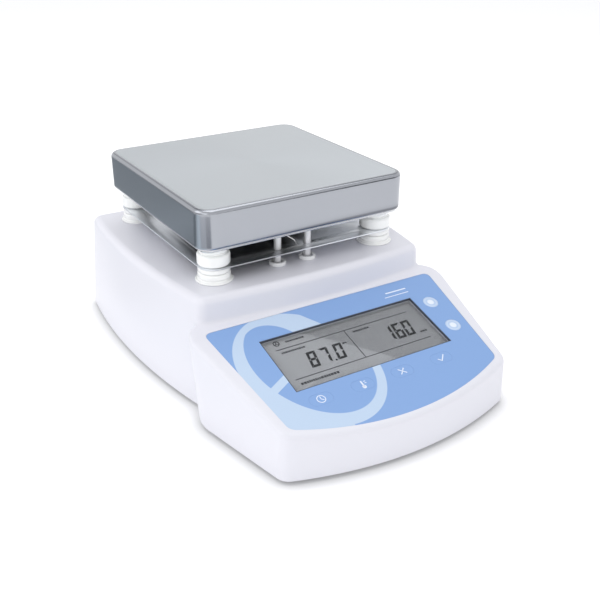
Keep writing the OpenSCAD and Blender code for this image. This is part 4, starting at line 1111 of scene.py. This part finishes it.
fine = words(-47.7, -30.7, 29.2, 1.3, 3) + words(-49.7, -22.7, 55.6, 1.6, 5) + words(46.2, 51.2, 45.4, 1.3, 7) + words(-8.0, -4.6, 35.6, 1.3, 9) \
    + words(-40.5, -27.5, 21.2, 1.3, 11) + words(4.3, 16.3, 29.2, 1.3, 13)
fine += [ring_prism(-46.7, 20.7, 1.6, 2.15)] + strip([(-46.7, 18.9), (-46.7, 20.7), (-45.1, 21.6)], 0.5) + strip([(-46.7, 20.7), (-48.3, 21.6)], 0.5)
flat_print("lcd_figures", fig, -3.19, -3.06, M["ink"], "chassis")
flat_print("lcd_lines", lines, -3.19, -3.08, M["thin_ink"], "chassis")
flat_print("lcd_marks", fine, -3.19, -3.08, M["thin_ink"], "chassis")


def window_shade_lining():
    """A dark lining of the window's walls: partly the display frame's dark lip, partly painted shade standing in for
    the shadow inside the recess.
    """
    t = 0.55
    x0, x1, s0, s1 = -57.48, 57.48, 17.72, 62.28
    outer = [(x0, -s1), (x1, -s1), (x1, -s0), (x0, -s0)]
    inner = [(x0 + t, -s1 + t), (x1 - t, -s1 + t), (x1 - t, -s0 - t), (x0 + t, -s0 - t)]
    v = [(x, y, z) for z in (-1.98, -0.32) for x, y in outer + inner]
    f = []
    for k in range(4):
        j = (k + 1) % 4
        f += [(k, j, 8 + j, 8 + k), (4 + j, 4 + k, 12 + k, 12 + j), (8 + k, 8 + j, 12 + j, 12 + k), (j, k, 4 + k, 4 + j)]
    me = bpy.data.meshes.new("window_shade_lining")
    me.from_pydata((to_panel(v) * MM).tolist(), [], [list(q) for q in f])
    bm = bmesh.new()
    bm.from_mesh(me)
    bmesh.ops.recalc_face_normals(bm, faces=bm.faces)
    bmesh.ops.bevel(bm, geom=[e for e in bm.edges if e.calc_face_angle(0) > 1.0], offset=0.00008, offset_type="OFFSET", segments=1, profile=0.5, affect="EDGES", clamp_overlap=True)
    bm.to_mesh(me)
    bm.free()
    smooth_by_angle(me, 30)
    return link(me, "window_shade_lining", M["bezel"], "chassis", ())


window_shade_lining()
remade("lcd_glass", M["lcd"], 0.0, degrees=10)
remade("lcd_lens", M["lens"], 0.0, degrees=20)

# --------------------------------------------------------------------------
# rear and underside
# --------------------------------------------------------------------------
remade("rear_panel", M["rear"], 0.2)
remade("rear_panel_screws", M["screw"], 0.12)
remade("iec_inlet", M["black"], 0.35, 3)
remade("inlet_pins", M["socket"], 0.35, 2)
remade("inlet_screws", M["screw"], 0.12)
remade("fuse_drawer", M["drawer"], 0.25, 2)
remade("switch_body", M["switch"], 0.3, 2)
remade("power_rocker", M["rocker"], 0.35, 3)
remade("probe_socket", M["socket"], 0.25, 2)
remade("rod_insert", M["brass"], 0.3, 2)
remade("bottom_cover", M["base"], 0.25, 2)
remade("rubber_feet", M["rubber"], 0.3, 2)
remade("cover_screws", M["screw"], 0.15)

# --------------------------------------------------------------------------
# what lies inside keeps its CAD shape, with its own finish
# --------------------------------------------------------------------------
INNER = {
    "lcd_frame": "bezel", "display_board": "pcb", "tact_switches": "black", "board_screws": "screw",
    "ribbon_cable": "ribbon", "heater_plate": "alu", "heating_element": "mica", "insulation_pad": "fibre",
    "pressure_plate": "plain", "temp_sensor": "sleeve", "post_studs": "screw", "heater_leads": "heater_wire",
    "motor_bracket": "plain", "bracket_screws": "screw", "motor_body": "motor", "motor_screws": "screw",
    "shaft_bearings": "plain", "motor_shaft": "plain", "magnet_holder": "holder", "drive_magnets": "magnet",
    "set_screw": "screw", "motor_lead": "motor_wire", "power_board": "pcb", "transformer": "core", "heatsink": "sink",
    "terminal_block": "terminal", "mains_leads": "mains_wire",
}
for node, key in INNER.items():
    o = NODES[node]
    o.data.materials.clear()
    o.data.materials.append(M[key])
left = [n for n, o in NODES.items() if not o.hide_render and n not in INNER]
assert not left, left

# --------------------------------------------------------------------------
# stage, light and camera
# --------------------------------------------------------------------------
def plane(name, x0, y0, x1, y1, z, mat):
    me = bpy.data.meshes.new(name)
    me.from_pydata([(x0, y0, z), (x1, y0, z), (x1, y1, z), (x0, y1, z)], [], [(0, 1, 2, 3)])
    ob = bpy.data.objects.new(name, me)
    scene.collection.objects.link(ob)
    me.materials.append(mat)
    return ob


fm, fnt, fb, fout, ftc = start("floor_white")
# painted contact shadow: the floor's colour darkens to grey close to the object, by ambient occlusion
painted_contact_shadow_ao = fnt.nodes.new("ShaderNodeAmbientOcclusion")
painted_contact_shadow_ao.inputs["Distance"].default_value = 0.012
painted_contact_shadow_ao.samples = 12
fnt.links.new(mixc(fnt, painted_contact_shadow_ao.outputs["AO"], (0.42, 0.42, 0.43), (0.975, 0.975, 0.98)), fb.inputs["Base Color"])
fb.inputs["Roughness"].default_value = 0.9
fb.inputs["Emission Color"].default_value = (1, 1, 1, 1)
fb.inputs["Emission Strength"].default_value = 0.13
fb.inputs["Specular IOR Level"].default_value = 0.05
plane("floor", -6, -6, 6, 6, 0.0, fm)


def card(name, pts, color, along=None):
    """A card that only shiny surfaces see."""
    m, nt, b, out, tc = start(name)
    b.inputs["Roughness"].default_value = 1.0
    b.inputs["Specular IOR Level"].default_value = 0.0
    if along:
        sep = nt.nodes.new("ShaderNodeSeparateXYZ")
        nt.links.new(tc.outputs["Object"], sep.inputs[0])
        ramp = nt.nodes.new("ShaderNodeValToRGB")
        nt.links.new(((S(sep.outputs[1]) - along[0][0]) / (along[-1][0] - along[0][0])).v, ramp.inputs[0])
        els = ramp.color_ramp.elements
        while len(els) < len(along):
            els.new(0.5)
        for e, (y, k) in zip(els, along):
            e.position = (y - along[0][0]) / (along[-1][0] - along[0][0])
            e.color = tuple(k * c for c in color) + (1.0,)
        nt.links.new(ramp.outputs[0], b.inputs["Base Color"])
    else:
        b.inputs["Base Color"].default_value = (*color, 1)
    me = bpy.data.meshes.new(name)
    me.from_pydata(pts, [], [tuple(range(len(pts)))])
    ob = bpy.data.objects.new(name, me)
    scene.collection.objects.link(ob)
    me.materials.append(m)
    for a in ("visible_camera", "visible_diffuse", "visible_shadow", "visible_transmission"):
        setattr(ob, a, False)
    return ob


card("card_left", [(-0.62, -0.09, 0.004), (-0.125, -0.09, 0.004), (-0.125, 0.80, 0.004), (-0.62, 0.80, 0.004)], (0.37, 0.415, 0.445),
     [(-0.09, 2.2), (0.03, 1.9), (0.10, 1.3), (0.132, 0.75), (0.142, 0.10), (0.158, 0.20), (0.175, 0.65), (0.25, 1.0), (0.33, 0.78), (0.80, 0.70)])
card("card_corner", [(-0.194, -0.130, 0.004), (-0.320, -0.260, 0.004), (-0.170, -0.347, 0.004), (-0.116, -0.180, 0.004)], (0.30, 0.315, 0.35))
card("card_side", [(-0.244, -0.025, 0.005), (-0.430, -0.040, 0.005), (-0.320, -0.260, 0.005), (-0.194, -0.130, 0.005)], (0.55, 0.57, 0.60))
card("card_front", [(0.813, -1.827, 0.0), (1.532, -1.286, 0.0), (1.532, -1.286, 0.60), (0.813, -1.827, 0.45)], (0.10, 0.11, 0.13))
card("card_rear", [(0.749, 1.854, 1.36), (-0.244, 1.985, 1.50), (-0.244, 1.985, 1.86), (0.749, 1.854, 1.66)], (0.08, 0.09, 0.10))

world = bpy.data.worlds.new("studio")
scene.world = world
world.use_nodes = True
wn = world.node_tree
wn.nodes.clear()
wo = wn.nodes.new("ShaderNodeOutputWorld")
wb = wn.nodes.new("ShaderNodeBackground")
wt = wn.nodes.new("ShaderNodeTexCoord")
ws = wn.nodes.new("ShaderNodeSeparateXYZ")
wn.links.new(wt.outputs["Generated"], ws.inputs[0])
ramp = wn.nodes.new("ShaderNodeValToRGB")
wn.links.new(ws.outputs[2], ramp.inputs[0])
ramp.color_ramp.elements[0].position = 0.0
ramp.color_ramp.elements[0].color = (1.03, 1.03, 1.03, 1)
ramp.color_ramp.elements[1].position = 1.0
ramp.color_ramp.elements[1].color = (0.76, 0.77, 0.79, 1)
wn.links.new(ramp.outputs[0], wb.inputs[0])
wb.inputs[1].default_value = 0.98
wn.links.new(wb.outputs[0], wo.inputs[0])


def area(name, loc, target, size, power, color=(1, 1, 1), spread=180):
    l = bpy.data.lights.new(name, "AREA")
    l.shape = "RECTANGLE"
    l.size, l.size_y = size
    l.energy = power
    l.color = color
    l.spread = math.radians(spread)
    o = bpy.data.objects.new(name, l)
    scene.collection.objects.link(o)
    o.location = loc
    o.rotation_euler = (Vector(target) - Vector(loc)).to_track_quat("-Z", "Y").to_euler()
    o.visible_camera = False
    return o


area("key_left", (-1.1, -0.7, 0.7), (0, 0, 0.05), (0.9, 0.9), 1.9)
area("top_soft", (0.2, 0.1, 1.5), (0, 0, 0.05), (1.2, 1.2), 5.5)
area("fill_left", (-0.95, 0.3, 0.85), (-0.05, 0.05, 0.05), (0.8, 0.8), 2.2)

AZ, EL, ROLL = math.radians(-32.09), math.radians(26.29), math.radians(0.27)
b = Vector((math.sin(AZ) * math.cos(EL), -math.cos(AZ) * math.cos(EL), math.sin(EL)))
r = Vector((math.cos(AZ), math.sin(AZ), 0))
u = b.cross(r)
r2 = r * math.cos(ROLL) + u * math.sin(ROLL)
u2 = -r * math.sin(ROLL) + u * math.cos(ROLL)
cam_data = bpy.data.cameras.new("camera")
cam = bpy.data.objects.new("camera", cam_data)
scene.collection.objects.link(cam)
cam.matrix_world = Matrix(((r2.x, u2.x, b.x, -0.27067), (r2.y, u2.y, b.y, -0.4479), (r2.z, u2.z, b.z, 0.29698), (0, 0, 0, 1)))
cam_data.sensor_width = 36.0
cam_data.lens = 50.54
cam_data.clip_start = 0.02
cam_data.clip_end = 60
scene.camera = cam
scene.view_settings.view_transform = "Standard"
scene.view_settings.look = "None"
